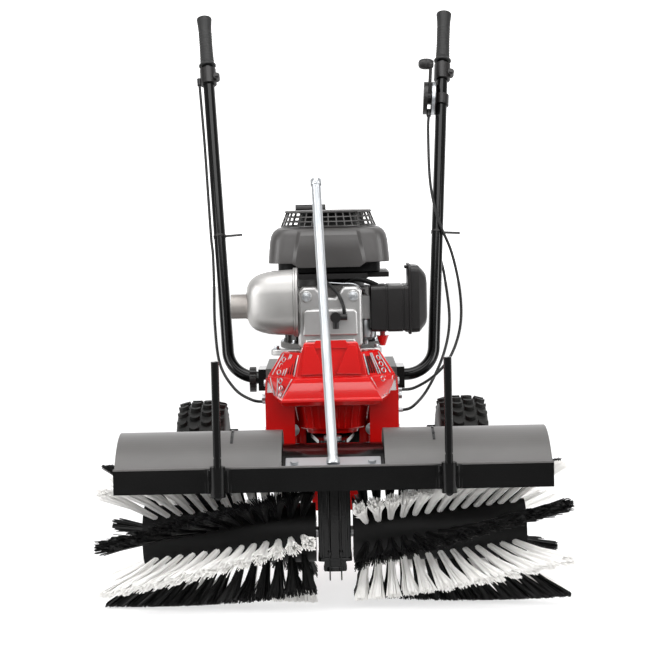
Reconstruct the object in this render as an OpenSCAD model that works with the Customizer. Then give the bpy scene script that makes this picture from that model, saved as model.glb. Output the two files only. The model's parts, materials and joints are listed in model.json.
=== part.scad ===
// Power brush sweeper: a petrol engine over a red transmission on two driven wheels,
// with a swivelling brush head in front and a U-shaped handlebar behind.
// X runs across the machine, the front is at -Y, +Z is up, and the tyres stand on Z = 0.

/* [Brush] */
// Tip radius of the bristles, which is also the height of the brush axis
brush_r = 132; // [126:1:136]
// Radius of each brush core
core_r = 54; // [48:1:58]
// Distance of each core from the centre plane
core_in = 34; // [33:1:38]
// Length of each core
core_len = 314; // [290:1:330]
// Reach of the brush axis ahead of the wheel axle
brush_reach = 412; // [405:1:425]
// Radius of the brush shaft
brush_shaft_r = 10; // [8:0.5:12]
// Tufts in each row
row_tufts = 13; // [8:1:13]
// Outward lean of the tips at the outer end of a row
outer_lean = 98; // [60:1:105]
// Inward lean of the tips at the inner end of a row
inner_lean = 24; // [4:1:25]

/* [Hood] */
// Inner radius of the hood's arc round the brush axis
hood_r = 160; // [150:1:165]
// Thickness of the hood's sheet
sheet_t = 3; // [2:0.5:4]
// Half width of the hood
hood_half_w = 388; // [370:1:400]
// Half width of the gap between the two hood shells
hood_gap = 92; // [80:1:100]
// Distance of the front lip ahead of the brush axis
lip_reach = 128; // [127:1:132]
// Height of the front lip
lip_h = 44; // [36:1:50]
// Height of the lip's lower edge
lip_z = 229; // [224:1:236]

/* [Stands and lever] */
// Distance of each parking stand from the centre plane
stand_x = 203; // [180:1:240]
// Radius of a parking stand
stand_r = 7; // [5:0.5:8]
// Length of a parking stand
stand_len = 245; // [230:1:260]
// Height of a stand's foot when it is drawn up
stand_foot_z = 218; // [214:1:222]
// Radius of the swivel lever's tube
lever_r = 9; // [7:0.5:11]
// Height of the swivel lever's top
lever_top_z = 778; // [740:1:800]
// Width of the lever's foot plate
lever_plate_w = 170; // [140:1:175]

/* [Wheels] */
// Outer radius of a tyre
tyre_r = 165; // [158:1:170]
// Width of a tyre
tyre_w = 100; // [90:1:110]
// Distance of each wheel's middle from the centre plane
wheel_x = 266; // [255:1:280]
// Radius of a rim at the bead
rim_r = 78; // [72:1:84]
// Radius of the wheel axle
axle_r = 10; // [9:0.5:12]

/* [Transmission] */
// Radius of the upright part of the transmission case
case_r = 75; // [72:1:80]
// Height of the top of the transmission case
case_top_z = 345; // [340:1:350]
// Distance of the crank axis ahead of the wheel axle
crank_reach = 80; // [78:1:84]
// Pitch radius of the axle's worm wheel
axle_gear_r = 56; // [54:0.5:57]
// Half width of the frame, to the outside of its side plates
frame_half_w = 128; // [124:1:132]
// Thickness of the frame's plates
frame_t = 4; // [3:0.5:5]

/* [Swivel] */
// Reach of the brush axis ahead of the swivel pivot
neck_reach = 122; // [118:1:128]
// Radius of the swivel pin
pivot_r = 11; // [9:0.5:12]
// Height of the drive shaft to the brush head
drive_z = 176; // [174:0.5:178]

/* [Engine] */
// Height of the underside of the engine's mounting flange
flange_z = 395; // [393:1:398]
// Width of the fan shroud
shroud_w = 236; // [225:1:245]
// Depth of the fan shroud
shroud_d = 250; // [235:1:255]
// Height of the fan shroud's lower rim
shroud_z = 596; // [594:1:600]
// Height of the fan shroud's side
shroud_h = 90; // [80:1:95]
// Radius of the starter cover at its foot
starter_r = 88; // [80:1:92]
// Height of the starter cover
starter_h = 33; // [28:1:36]
// Radius of the cylinder bore
bore_r = 32; // [30:0.5:34]
// Throw of the crank
throw = 23; // [20:0.5:23]

/* [Handlebar] */
// Outer radius of the handlebar's tube
tube_r = 12.5; // [11:0.5:13]
// Height of the handlebar's cross tube
bar_z = 372; // [370:1:374]
// Distance of the handlebar's cross tube behind the wheel axle
bar_y = 45; // [44:1:52]
// Half width of the straight cross tube
bar_half_w = 154; // [152:1:160]
// Bend radius of the handlebar
bend_r = 62; // [50:1:70]
// Lean of the handlebar from upright
bar_lean = 24; // [20:0.5:28]
// Outward splay of the side tubes
bar_splay = 3.9; // [3:0.1:5]
// Length of each straight side tube
side_len = 792; // [740:1:830]
// Length of a grip
grip_len = 122; // [110:1:130]
// Radius of a grip at its waist
grip_r = 15.5; // [15:0.5:18]

/* [Hidden] */

$fn = 48;
// Extra length of a cut past the face that it opens
over = 1;
// Radial clearance of a shaft that turns in its bore, and of a piece that is fixed in a seat
run_gap = 0.08;
fit_gap = 0.1;
// Gap between curved pieces of different bodies
body_gap = 0.4;
corner_steps = 5;

// Places that many pieces share
brush_y = -brush_reach;
brush_z = brush_r;
crank_y = -crank_reach;
pivot_y = brush_y + neck_reach;
axle_z = tyre_r;
lip_y = brush_y - lip_reach;
tube_turn = 90 - bar_splay;
bend_end = [bar_half_w + bend_r * sin(tube_turn), bend_r - bend_r * cos(tube_turn)];
bar_end = bend_end + side_len * [sin(bar_splay), cos(bar_splay)];
grip_end_over = 3;
grip_end_r = 17;
bar_end_v = bar_end[1] + grip_end_over * cos(bar_splay);

// The origin is the middle of the machine's length
stand_wall = 2.5;
sleeve_r = 13.5;
stand_y = lip_y - sheet_t - stand_r - stand_wall;
front_y = stand_y - sleeve_r;
control_out = 28;
control_drop = 142;
control_bar_r = 4;
control_ball_r = 5.5;
control_rise = 134;
control_open = 14;
control_end_y = control_out + control_rise * tan(control_open);
control_end_v = bar_end[1] + (control_rise - control_drop) * cos(bar_splay);
back_y = bar_y + control_end_v * sin(bar_lean) + control_end_y * cos(bar_lean) + control_ball_r;
frame_y = -(front_y + back_y) / 2;

// A cylinder along X, Y or Z between two stations
module x_cyl(r, x0, x1) { translate([x0, 0, 0]) rotate([0, 90, 0]) cylinder(r = r, h = x1 - x0); }
module y_cyl(r, y0, y1) { translate([0, y1, 0]) rotate([90, 0, 0]) cylinder(r = r, h = y1 - y0); }
module z_cyl(r, z0, z1) { translate([0, 0, z0]) cylinder(r = r, h = z1 - z0); }

// A box between two opposite corners
module span_box(a, b) { translate(a) cube(b - a); }

// A round rod between two points
module rod(p, q, r, r_end = undef) {
  v = q - p;
  turn = atan2(v[1], v[0]);
  tilt = atan2(norm([v[0], v[1]]), v[2]);
  translate(p) rotate([0, tilt, turn]) cylinder(r1 = r, r2 = is_undef(r_end) ? r : r_end, h = norm(v));
}

module mirrored() {
  children();
  mirror([1, 0, 0]) children();
}

// A rounded rectangle as a loop of points at height z
function round_loop(w, d, r, z, x = 0, y = 0) = [
  for (q = [0:3]) for (i = [0:corner_steps])
    let (a = 90 * (q + i / corner_steps))
      [x + (q == 0 || q == 3 ? 1 : -1) * (w / 2 - r) + r * cos(a),
       y + (q < 2 ? 1 : -1) * (d / 2 - r) + r * sin(a), z]];

// A closed skin over loops that hold equally many points
module loft(loops) {
  n = len(loops[0]);
  last = len(loops) - 1;
  sides = [for (j = [0:last - 1]) for (i = [0:n - 1])
    let (a = j * n + i, b = j * n + (i + 1) % n) each [[a, a + n, b + n], [a, b + n, b]]];
  polyhedron([for (l = loops) each l],
    concat(sides, [[for (i = [0:n - 1]) i]], [[for (i = [n - 1:-1:0]) last * n + i]]));
}

// Loops turned to be stacked along X or Y: a loop's width then lies along Y or Z
function across_x(loop) = [for (p = loop) [p[2], p[0], p[1]]];
function across_y(loop) = [for (p = loop) [p[1], p[2], p[0]]];

// Frame: two red side plates that carry the engine's flange, with flanges turned in at the front
head_room = 162;
plate_front_y = brush_y + head_room;
plate_back_y = 76;
plate_low_z = 262;
plate_flange_w = 56;
plate_flange_z = 372;
plate_chamfer = 46;
tube_hole_gap = 1;

module side_plate() {
  color("firebrick") difference() {
    union() {
      translate([frame_half_w - frame_t, 0, 0]) rotate([90, 0, 90]) linear_extrude(frame_t) polygon([
        [plate_front_y, plate_low_z], [plate_back_y - plate_chamfer, plate_low_z],
        [plate_back_y, plate_low_z + plate_chamfer], [plate_back_y, flange_z], [plate_front_y + plate_chamfer, flange_z],
        [plate_front_y, plate_flange_z]]);
      span_box([frame_half_w - plate_flange_w, plate_front_y, plate_low_z],
        [frame_half_w - frame_t / 2, plate_front_y + frame_t, plate_flange_z]);
    }
    translate([0, bar_y, bar_z])
      x_cyl(tube_r + tube_hole_gap, frame_half_w - frame_t - over, frame_half_w + over);
  }
}
module right_side_plate() { side_plate(); }
module left_side_plate() { mirror([1, 0, 0]) side_plate(); }

// Transmission: a worm on the upright shaft turns a worm wheel on the axle
case_low_z = 240;
gear_w = 24;
gear_side_gap = 2;
gear_tip_gap = 3;
gear_wall = 12;
axle_tube_r = 26;
case_block_half_w = 44;
case_block_low_z = 116;
pad_half_w = 52;
pad_out = 5;
pad_y = crank_y - case_r - pad_out;
pad_low_z = 150;
pad_top_z = 296;
mesh_gap = 0.4;
worm_r = crank_reach - axle_gear_r - mesh_gap;
worm_shaft_r = 10;
worm_len = 54;
worm_low_z = axle_z - worm_len / 2;
worm_top_z = axle_z + worm_len / 2;
worm_foot_z = 122;
clutch_r = 44;
clutch_room = 6;
travel_disc_z = 320;
travel_disc_t = 22;
drive_shaft_r = 8;
drive_disc_r = 20;
drive_disc_ahead = 48;
drive_disc_back_y = crank_y - drive_disc_ahead;
drive_disc_t = 16;
drive_room = 3;
case_rib_w = 6;
case_rib_out = 4;
case_ribs = 9;
case_rib_margin = 5;
case_foot_r = 60;
case_foot_z = 214;

module case_cavities() {
  translate([0, 0, axle_z]) {
    x_cyl(axle_gear_r + gear_tip_gap, -gear_w / 2 - gear_side_gap, gear_w / 2 + gear_side_gap);
    x_cyl(axle_r + run_gap, -frame_half_w - over, frame_half_w + over);
  }
  translate([0, crank_y, 0]) {
    z_cyl(worm_r + gear_tip_gap, worm_low_z - gear_side_gap, worm_top_z + gear_side_gap);
    z_cyl(worm_shaft_r + run_gap, worm_foot_z, case_top_z);
    z_cyl(clutch_r + clutch_room, travel_disc_z - gear_side_gap, case_top_z + over);
  }
  translate([0, 0, drive_z]) {
    y_cyl(drive_shaft_r + run_gap, pad_y - over, drive_disc_back_y);
    y_cyl(drive_disc_r + drive_room, drive_disc_back_y - drive_disc_t - drive_room, drive_disc_back_y + drive_room);
  }
}

module transmission_case() {
  difference() {
    union() {
      translate([0, crank_y, 0]) {
        z_cyl(case_r, case_low_z, case_top_z);
        translate([0, 0, case_foot_z]) cylinder(r1 = case_foot_r, r2 = case_r, h = case_low_z - case_foot_z);
        for (i = [0:case_ribs - 1])
          rotate(180 + 180 * i / (case_ribs - 1)) translate([0, -case_rib_w / 2, case_low_z + case_rib_margin])
            cube([case_r + case_rib_out, case_rib_w, case_top_z - case_low_z - 2 * case_rib_margin]);
      }
      span_box([-case_block_half_w, pad_y + pad_half_w, case_block_low_z],
        [case_block_half_w, crank_y + case_block_half_w, case_low_z]);
      span_box([-pad_half_w, pad_y, pad_low_z], [pad_half_w, crank_y, pad_top_z]);
      translate([0, 0, axle_z]) {
        x_cyl(axle_gear_r + gear_tip_gap + gear_wall, -gear_w / 2 - gear_wall, gear_w / 2 + gear_wall);
        x_cyl(axle_tube_r, -frame_half_w, frame_half_w);
      }
    }
    case_cavities();
  }
}
half_room = 400;
module transmission_case_left() {
  color("crimson") intersection() {
    transmission_case();
    span_box([-half_room, -half_room, 0], [0, half_room, half_room]);
  }
}
module transmission_case_right() {
  color("crimson") intersection() {
    transmission_case();
    span_box([0, -half_room, 0], [half_room, half_room, half_room]);
  }
}

module axle_gear() {
  color("goldenrod") translate([0, 0, axle_z]) difference() {
    x_cyl(axle_gear_r, -gear_w / 2, gear_w / 2);
    x_cyl(axle_r + fit_gap, -gear_w / 2 - over, gear_w / 2 + over);
  }
}
thread_pitch = 9;
thread_depth = 3;
module travel_worm() {
  color("silver") translate([0, crank_y, 0]) {
    z_cyl(worm_shaft_r, worm_foot_z, travel_disc_z);
    z_cyl(clutch_r, travel_disc_z, travel_disc_z + travel_disc_t);
    difference() {
      z_cyl(worm_r, worm_low_z, worm_top_z);
      for (z = [worm_low_z + thread_pitch / 2:thread_pitch:worm_top_z - thread_pitch / 2])
        rotate_extrude() translate([worm_r - thread_depth, z]) square([thread_depth + over, thread_pitch / 2]);
    }
  }
}
ball_r = 11;
module drive_shaft() {
  color("silver") translate([0, 0, drive_z]) {
    y_cyl(drive_shaft_r, pivot_y, drive_disc_back_y - drive_disc_t);
    y_cyl(drive_disc_r, drive_disc_back_y - drive_disc_t, drive_disc_back_y);
    translate([0, pivot_y, 0]) sphere(r = ball_r);
  }
}

// The bell that joins the transmission to the engine
bell_r = 84;
module bell_housing() {
  color("firebrick") translate([0, crank_y, 0]) difference() {
    z_cyl(bell_r, case_top_z, flange_z);
    z_cyl(clutch_r + clutch_room, case_top_z - over, flange_z + over);
  }
}

// Red cover in front of the bell, a shell with slotted shoulders
cover_low_z = 338;
cover_foot_z = 350;
cover_waist_z = 388;
cover_shoulder_z = 404;
cover_top_z = 452;
cover_foot_w = 196;
cover_waist_w = 248;
cover_top_w = 134;
cover_d = 84;
cover_top_d = 46;
cover_wall = 4;
cover_corner = 12;
cover_foot_share = 0.8;
slot_w = 5;
slot_h = 26;
slot_pitch = 11;
slots = 4;
module cover_skin(inset) {
  low_shift = inset > 0 ? inset : 0;
  function section(w, d, z) = round_loop(w - 2 * inset, d - inset + low_shift, cover_corner - inset, z,
    0, plate_front_y - (d - inset - low_shift) / 2);
  loft([section(cover_foot_w, cover_d * cover_foot_share, cover_low_z + inset),
    section(cover_foot_w + cover_corner, cover_d, cover_foot_z),
    section(cover_waist_w, cover_d, cover_waist_z),
    section(cover_waist_w - cover_corner, cover_d, cover_shoulder_z),
    section(cover_top_w, cover_top_d, cover_top_z - inset)]);
}
module front_cover() {
  color("red") difference() {
    cover_skin(0);
    cover_skin(cover_wall);
    mirrored() for (i = [0:slots - 1])
      translate([cover_top_w / 2 + slot_pitch * (i + 1), plate_front_y - cover_d / 2 - slot_pitch, 0])
        span_box([-slot_w / 2, 0, cover_waist_z], [slot_w / 2, slot_h, cover_top_z]);
  }
}

// Swivel bracket on the transmission, and the pin that the brush head turns on
ear_t = 8;
ear_r = 27;
ear_half_w = 46;
lug_low_z = 214;
lug_top_z = 277;
lug_gap = 0.3;
bracket_t = 7;
pin_head_r = 17;
pin_head_t = 7;
module ear(z) {
  translate([0, 0, z]) {
    translate([0, pivot_y, 0]) cylinder(r = ear_r, h = ear_t);
    linear_extrude(ear_t) polygon([[-ear_r, pivot_y], [ear_r, pivot_y], [ear_half_w, pad_y - bracket_t],
      [-ear_half_w, pad_y - bracket_t]]);
  }
}
module swivel_bracket() {
  color([0.08, 0.08, 0.08]) difference() {
    union() {
      ear(lug_low_z - ear_t);
      ear(lug_top_z);
      span_box([-pad_half_w, pad_y - bracket_t, lug_low_z - ear_t], [pad_half_w, pad_y, pad_top_z]);
    }
    translate([0, pivot_y, 0]) z_cyl(pivot_r + fit_gap, lug_low_z - ear_t - over, lug_top_z + ear_t + over);
  }
}
module swivel_pin() {
  color("silver") translate([0, pivot_y, 0]) {
    z_cyl(pivot_r, lug_low_z - ear_t, lug_top_z + ear_t);
    z_cyl(pin_head_r, lug_top_z + ear_t, lug_top_z + ear_t + pin_head_t);
  }
}

// Clamps that hold the handlebar's cross tube, and the knob that tightens the left one
clamp_w = 22;
clamp_front_y = -14;
clamp_back = 21;
clamp_half_h = 22;
clamp_back_y = bar_y + clamp_back;
clamp_low_z = bar_z - clamp_half_h;
clamp_top_z = bar_z + clamp_half_h;
knob_y = 3;
knob_r = 26;
knob_t = 13;
knob_neck_r = 9;
knob_neck_l = 5;
screw_r = 5;
knob_lobes = 6;
lobe_r = 6;
lobe_out = 2;
module handlebar_clamps() {
  color([0.08, 0.08, 0.08]) difference() {
    mirrored() span_box([frame_half_w, clamp_front_y, clamp_low_z],
      [frame_half_w + clamp_w, clamp_back_y, clamp_top_z]);
    mirrored() translate([0, bar_y, bar_z])
      x_cyl(tube_r + run_gap, frame_half_w - over, frame_half_w + clamp_w + over);
    translate([0, knob_y, bar_z]) x_cyl(screw_r + run_gap, -frame_half_w - clamp_w - over, -frame_half_w - frame_t);
  }
}
module clamp_knob() {
  face_x = -frame_half_w - clamp_w;
  color([0.06, 0.06, 0.06]) translate([0, knob_y, bar_z]) {
    x_cyl(screw_r, face_x, face_x + clamp_w - frame_t - over);
    x_cyl(knob_neck_r, face_x - knob_neck_l, face_x);
    difference() {
      x_cyl(knob_r, face_x - knob_neck_l - knob_t, face_x - knob_neck_l);
      for (i = [0:knob_lobes - 1]) rotate([360 * i / knob_lobes, 0, 0]) translate([0, 0, knob_r + lobe_out])
        x_cyl(lobe_r, face_x - knob_neck_l - knob_t - over, face_x - knob_neck_l + over);
    }
  }
}

// Wheels on one driven axle
axle_end = 56;
hub_r = 24;
hub_half_w = 46;
rim_half_w = 40;
rim_wall = 8;
rim_lip_out = 7;
rim_lip_t = 4;
web_t = 8;
bead_gap = 0.3;
groove_w = 4;
groove_d = 5;
groove_x = 21;
crown_drop = 2;
rim_holes = 5;
rim_hole_r = 11;
// Radial and width shares of the tyre's shoulder and sidewall, from the crown to the bead
tyre_shares = [[0.955, 0.8], [0.88, 0.92], [0.74, 0.985], [0.52, 1], [0.32, 0.97], [0.18, 0.86], [0.11, 0.71], [0, 0.71]];

module axle_shaft() {
  color("dimgray") translate([0, 0, axle_z]) x_cyl(axle_r, -wheel_x - axle_end, wheel_x + axle_end);
}
module rim() {
  inner_r = rim_r - rim_wall;
  half = [[axle_r + fit_gap, hub_half_w], [hub_r, hub_half_w], [hub_r, web_t / 2], [inner_r, web_t / 2],
    [inner_r, rim_half_w], [rim_r + rim_lip_out, rim_half_w], [rim_r + rim_lip_out, rim_half_w - rim_lip_t],
    [rim_r, rim_half_w - rim_lip_t]];
  color("lightgray") translate([wheel_x, 0, axle_z]) difference() {
    rotate([0, 90, 0]) rotate_extrude()
      polygon(concat(half, [for (i = [len(half) - 1:-1:0]) [half[i][0], -half[i][1]]]));
    for (i = [0:rim_holes - 1]) rotate([360 * i / rim_holes, 0, 0]) translate([0, 0, (hub_r + inner_r) / 2])
      x_cyl(rim_hole_r, -web_t, web_t);
  }
}
module tyre() {
  seat_r = rim_r + bead_gap;
  land = tyre_r - groove_d;
  half = concat([[land, 0], [land, groove_w / 2], [tyre_r, groove_w / 2], [tyre_r, groove_x - groove_w / 2],
    [land, groove_x - groove_w / 2], [land, groove_x + groove_w / 2], [tyre_r - crown_drop, groove_x + groove_w / 2]],
    [for (s = tyre_shares) [seat_r + s[0] * (tyre_r - seat_r), s[1] * tyre_w / 2]]);
  color([0.1, 0.1, 0.1]) translate([wheel_x, 0, axle_z]) rotate([0, 90, 0]) rotate_extrude()
    polygon(concat(half, [for (i = [len(half) - 1:-1:1]) [half[i][0], -half[i][1]]]));
}
module right_rim() { rim(); }
module left_rim() { mirror([1, 0, 0]) rim(); }
module right_tyre() { tyre(); }
module left_tyre() { mirror([1, 0, 0]) tyre(); }

// Engine: crankcase and finned barrel, with the crank upright and the cylinder towards the front
flange_t = 17;
flange_setback = 60;
flange_front_y = plate_front_y + flange_setback;
flange_back_y = 22;
crankcase_r = 86;
crankcase_top_z = 565;
crank_room_r = 58;
crank_z = 515;
crank_room_h = 78;
crank_r = 12.5;
barrel_half_w = 47;
barrel_front_y = -265;
barrel_back_y = -140;
fin_half_w = 58;
fin_t = 4;
fin_pitch = 13;
fins = 7;
bore_end_y = -214;
web_r = 38;
web_disc_t = 10;
web_gap = 28;
crank_pin_r = 9;
crank_foot_z = 347;
clutch_hub_t = 26;
crank_top_z = 668;

module engine_block() {
  color("silver") difference() {
    union() {
      span_box([-frame_half_w, flange_front_y, flange_z], [frame_half_w, flange_back_y, flange_z + flange_t]);
      translate([0, crank_y, 0]) z_cyl(crankcase_r, flange_z + flange_t, crankcase_top_z);
      span_box([-barrel_half_w, barrel_front_y, crank_z - barrel_half_w],
        [barrel_half_w, barrel_back_y, crank_z + barrel_half_w]);
      for (i = [0:fins - 1]) translate([0, barrel_front_y + i * fin_pitch, crank_z])
        span_box([-fin_half_w, 0, -fin_half_w], [fin_half_w, fin_t, fin_half_w]);
    }
    translate([0, crank_y, 0]) {
      z_cyl(crank_r + run_gap, flange_z - over, crankcase_top_z + over);
      z_cyl(crank_room_r, crank_z - crank_room_h / 2, crank_z + crank_room_h / 2);
    }
    translate([0, 0, crank_z]) y_cyl(bore_r + run_gap, bore_end_y, crank_y);
  }
}
module crankshaft() {
  color("gray") translate([0, crank_y, 0]) {
    z_cyl(crank_r, crank_foot_z, crank_z - web_gap / 2);
    z_cyl(crank_r, crank_z + web_gap / 2, crank_top_z);
    for (z = [crank_z - web_gap / 2 - web_disc_t, crank_z + web_gap / 2]) z_cyl(web_r, z, z + web_disc_t);
    translate([0, -throw, 0]) z_cyl(crank_pin_r, crank_z - web_gap / 2 - over, crank_z + web_gap / 2 + over);
    z_cyl(clutch_r, crank_foot_z, crank_foot_z + clutch_hub_t);
  }
}
rod_len = 84;
piston_h = 40;
piston_pin_drop = 22;
ring_d = 2;
ring_h = 2.5;
ring_pitch = 6;
piston_rings = 3;
module piston() {
  top_y = crank_y - rod_len - piston_pin_drop;
  color("lightgray") translate([0, top_y + piston_h, crank_z]) rotate([90, 0, 0]) difference() {
    cylinder(r = bore_r, h = piston_h);
    for (i = [1:piston_rings]) translate([0, 0, piston_h - i * ring_pitch]) rotate_extrude()
      translate([bore_r - ring_d, 0]) square([ring_d + over, ring_h]);
  }
}

// Valve cover: a pressed lid with a notched top edge, a raised panel and four bolt heads
cover_half_w = 60;
vc_d = 34;
vc_low_z = 457;
vc_top_z = 575;
vc_notch_half_w = 24;
vc_notch_d = 22;
vc_chamfer = 9;
vc_panel_d = 8;
vc_panel_inset = 10;
vc_panel_top_z = 534;
vc_bolt_r = 6;
vc_bolt_h = 6;
vc_bolt_inset = 15;
module valve_cover() {
  front_y = barrel_front_y - vc_d;
  color("silver") {
    translate([0, barrel_front_y, 0]) rotate([90, 0, 0]) linear_extrude(vc_d) polygon([
      [-cover_half_w, vc_low_z + vc_chamfer], [-cover_half_w + vc_chamfer, vc_low_z],
      [cover_half_w - vc_chamfer, vc_low_z], [cover_half_w, vc_low_z + vc_chamfer],
      [cover_half_w, vc_top_z - vc_chamfer], [cover_half_w - vc_chamfer, vc_top_z],
      [vc_notch_half_w, vc_top_z], [vc_chamfer, vc_top_z - vc_notch_d], [-vc_chamfer, vc_top_z - vc_notch_d],
      [-vc_notch_half_w, vc_top_z], [-cover_half_w + vc_chamfer, vc_top_z], [-cover_half_w, vc_top_z - vc_chamfer]]);
    span_box([-cover_half_w + vc_panel_inset, front_y - vc_panel_d, vc_low_z + vc_panel_inset],
      [cover_half_w - vc_panel_inset, front_y, vc_panel_top_z]);
    for (x = [-1, 1]) translate([x * (cover_half_w - vc_bolt_inset), 0, vc_top_z - vc_bolt_inset])
      y_cyl(vc_bolt_r, front_y - vc_bolt_h, front_y);
  }
}
boot_r = 10;
boot_x = 10;
boot_z = 520;
boot_l = 26;
boot_stem_r = 6;
boot_stem_l = 44;
module spark_plug() {
  face_y = barrel_front_y - vc_d - vc_panel_d;
  color([0.07, 0.07, 0.07]) translate([boot_x, face_y, boot_z]) {
    y_cyl(boot_r, -boot_l, 0);
    translate([0, -boot_l / 2, 0]) x_cyl(boot_stem_r, 0, boot_stem_l / 2);
    translate([0, -boot_l / 2, 0]) z_cyl(boot_stem_r, -boot_stem_l / 2, 0);
  }
}

// Muffler: a rounded can on the left of the barrel, with its outlet pipe
muffler_y = -262;
muffler_z = 546;
muffler_h = 124;
muffler_d = 104;
muffler_len = 98;
muffler_corner = 40;
pipe_r = 23;
pipe_len = 30;
pipe_wall = 3;
pipe_z = 540;
port_y = -236;
port_r = 16;
// Length and size shares of the muffler's sections, from the pipe end to the barrel
muffler_shares = [[0, 0.5], [0.04, 0.66], [0.12, 0.82], [0.26, 0.93], [0.45, 0.99], [0.9, 1], [0.9, 1.05], [1, 1.05]];
module muffler() {
  end_x = -cover_half_w - muffler_len;
  color("lightgray") {
    translate([0, muffler_y, muffler_z]) loft([for (s = muffler_shares)
      across_x(round_loop(s[1] * muffler_d, s[1] * muffler_h, s[1] * muffler_corner, end_x + s[0] * muffler_len))]);
    translate([0, muffler_y, pipe_z]) difference() {
      x_cyl(pipe_r, end_x - pipe_len, end_x + over);
      x_cyl(pipe_r - pipe_wall, end_x - pipe_len - over, end_x - pipe_wall);
    }
    translate([0, port_y, crank_z]) x_cyl(port_r, -cover_half_w - over, -fin_half_w);
  }
}

// Carburettor, air filter box and its lid, and the fuel tap, on the right of the barrel
carb_len = 18;
carb_y = -216;
carb_z = 532;
carb_half = 22;
carb_bore_r = 9;
box_len = 74;
box_y = -216;
box_half_d = 52;
box_low_z = 486;
box_top_z = 574;
lid_len = 36;
lid_low_z = 480;
lid_top_z = 614;
lid_corner = 14;
lid_nose_share = 0.8;
box_x = fin_half_w + carb_len;
module carburettor() {
  color("gray") difference() {
    span_box([fin_half_w, carb_y - carb_half, carb_z - carb_half], [box_x, carb_y + carb_half, carb_z + carb_half]);
    translate([0, carb_y, carb_z]) x_cyl(carb_bore_r, fin_half_w - over, box_x + over);
  }
}
module air_filter_box() {
  color([0.09, 0.09, 0.09]) loft([for (x = [box_x, box_x + box_len])
    across_x(round_loop(2 * box_half_d, box_top_z - box_low_z, lid_corner / 2, x, box_y, (box_low_z + box_top_z) / 2))]);
}
module air_filter_cover() {
  x = box_x + box_len;
  function section(share, x) = across_x(round_loop(2 * box_half_d * share, (lid_top_z - lid_low_z) * share,
    lid_corner * share, x, box_y, (lid_low_z + lid_top_z) / 2));
  color([0.07, 0.07, 0.07])
    loft([section(1, x), section(1, x + lid_len / 2), section(lid_nose_share, x + lid_len)]);
}
tap_x = 100;
tap_y = -236;
tap_r = 12;
tap_neck_r = 5;
tap_h = 20;
tap_neck_h = 8;
module fuel_tap() {
  color("red") translate([tap_x, tap_y, 0]) {
    z_cyl(tap_neck_r, box_low_z - tap_neck_h, box_low_z - body_gap);
    translate([0, 0, box_low_z - tap_neck_h - tap_h]) cylinder(r1 = tap_neck_r, r2 = tap_r, h = tap_h);
  }
}

// Fan shroud over the flywheel, on a black base plate that also carries the fuel tank
shroud_wall = 3;
shroud_corner = 44;
shroud_hole_r = 70;
skirt_half_w = 72;
skirt_rise = 14;
// Height and size shares of the shroud's sections, from the rim to the roof
shroud_shares = [[0, 1], [0.5, 0.985], [0.8, 0.93], [1, 0.83]];
base_t = 10;
base_inset = 1;
base_neck_r = 70;
base_hole_gap = 2;
tank_gap = 2;
tank_w = 168;
tank_d = 62;
tank_h = 84;
tank_corner = 18;
tank_top_share = 0.9;
tank_y = crank_y + shroud_d / 2 + tank_gap + tank_d / 2;
cap_r = 24;
cap_h = 34;
cap_x = 50;
cap_ribs = 16;
cap_rib_r = 2;

module shroud_skin(inset, drop) {
  loft([for (s = shroud_shares) round_loop(shroud_w * s[1] - 2 * inset, shroud_d * s[1] - 2 * inset,
    shroud_corner * s[1] - inset, shroud_z + s[0] * (shroud_h - drop), 0, crank_y)]);
}
module fan_shroud() {
  color([0.25, 0.24, 0.25]) difference() {
    shroud_skin(0, 0);
    translate([0, 0, -over]) shroud_skin(shroud_wall, shroud_wall - over);
    translate([0, crank_y, 0]) z_cyl(shroud_hole_r, shroud_z, shroud_z + shroud_h + over);
    mirrored() span_box([skirt_half_w, crank_y - shroud_d, shroud_z - over],
      [shroud_w, crank_y + shroud_d / 4, shroud_z + skirt_rise]);
  }
}
module blower_base() {
  color([0.07, 0.07, 0.07]) difference() {
    union() {
      translate([0, crank_y, shroud_z - base_t]) linear_extrude(base_t)
        square([shroud_w - 2 * shroud_corner, shroud_d - 2 * base_inset], center = true);
      translate([0, crank_y, shroud_z - base_t]) linear_extrude(base_t)
        square([shroud_w - 2 * base_inset, shroud_d - 2 * shroud_corner], center = true);
      span_box([-tank_w / 2, crank_y, shroud_z - base_t], [tank_w / 2, tank_y + tank_d / 2, shroud_z]);
      translate([0, crank_y, 0]) z_cyl(base_neck_r, crankcase_top_z, shroud_z);
    }
    translate([0, crank_y, 0]) z_cyl(crank_r + base_hole_gap, crankcase_top_z - over, shroud_z + over);
  }
}
fan_low_z = 602;
fan_t = 34;
fan_r = 84;
blades = 12;
blade_t = 3;
blade_h = 18;
blade_in_r = 40;
module flywheel() {
  color("gray") translate([0, crank_y, 0]) difference() {
    union() {
      z_cyl(fan_r, fan_low_z, fan_low_z + fan_t);
      for (i = [0:blades - 1]) rotate(360 * i / blades)
        span_box([blade_in_r, -blade_t / 2, fan_low_z + fan_t - over], [fan_r, blade_t / 2, fan_low_z + fan_t + blade_h]);
    }
    z_cyl(crank_r + fit_gap, fan_low_z - over, fan_low_z + fan_t + over);
  }
}

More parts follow.
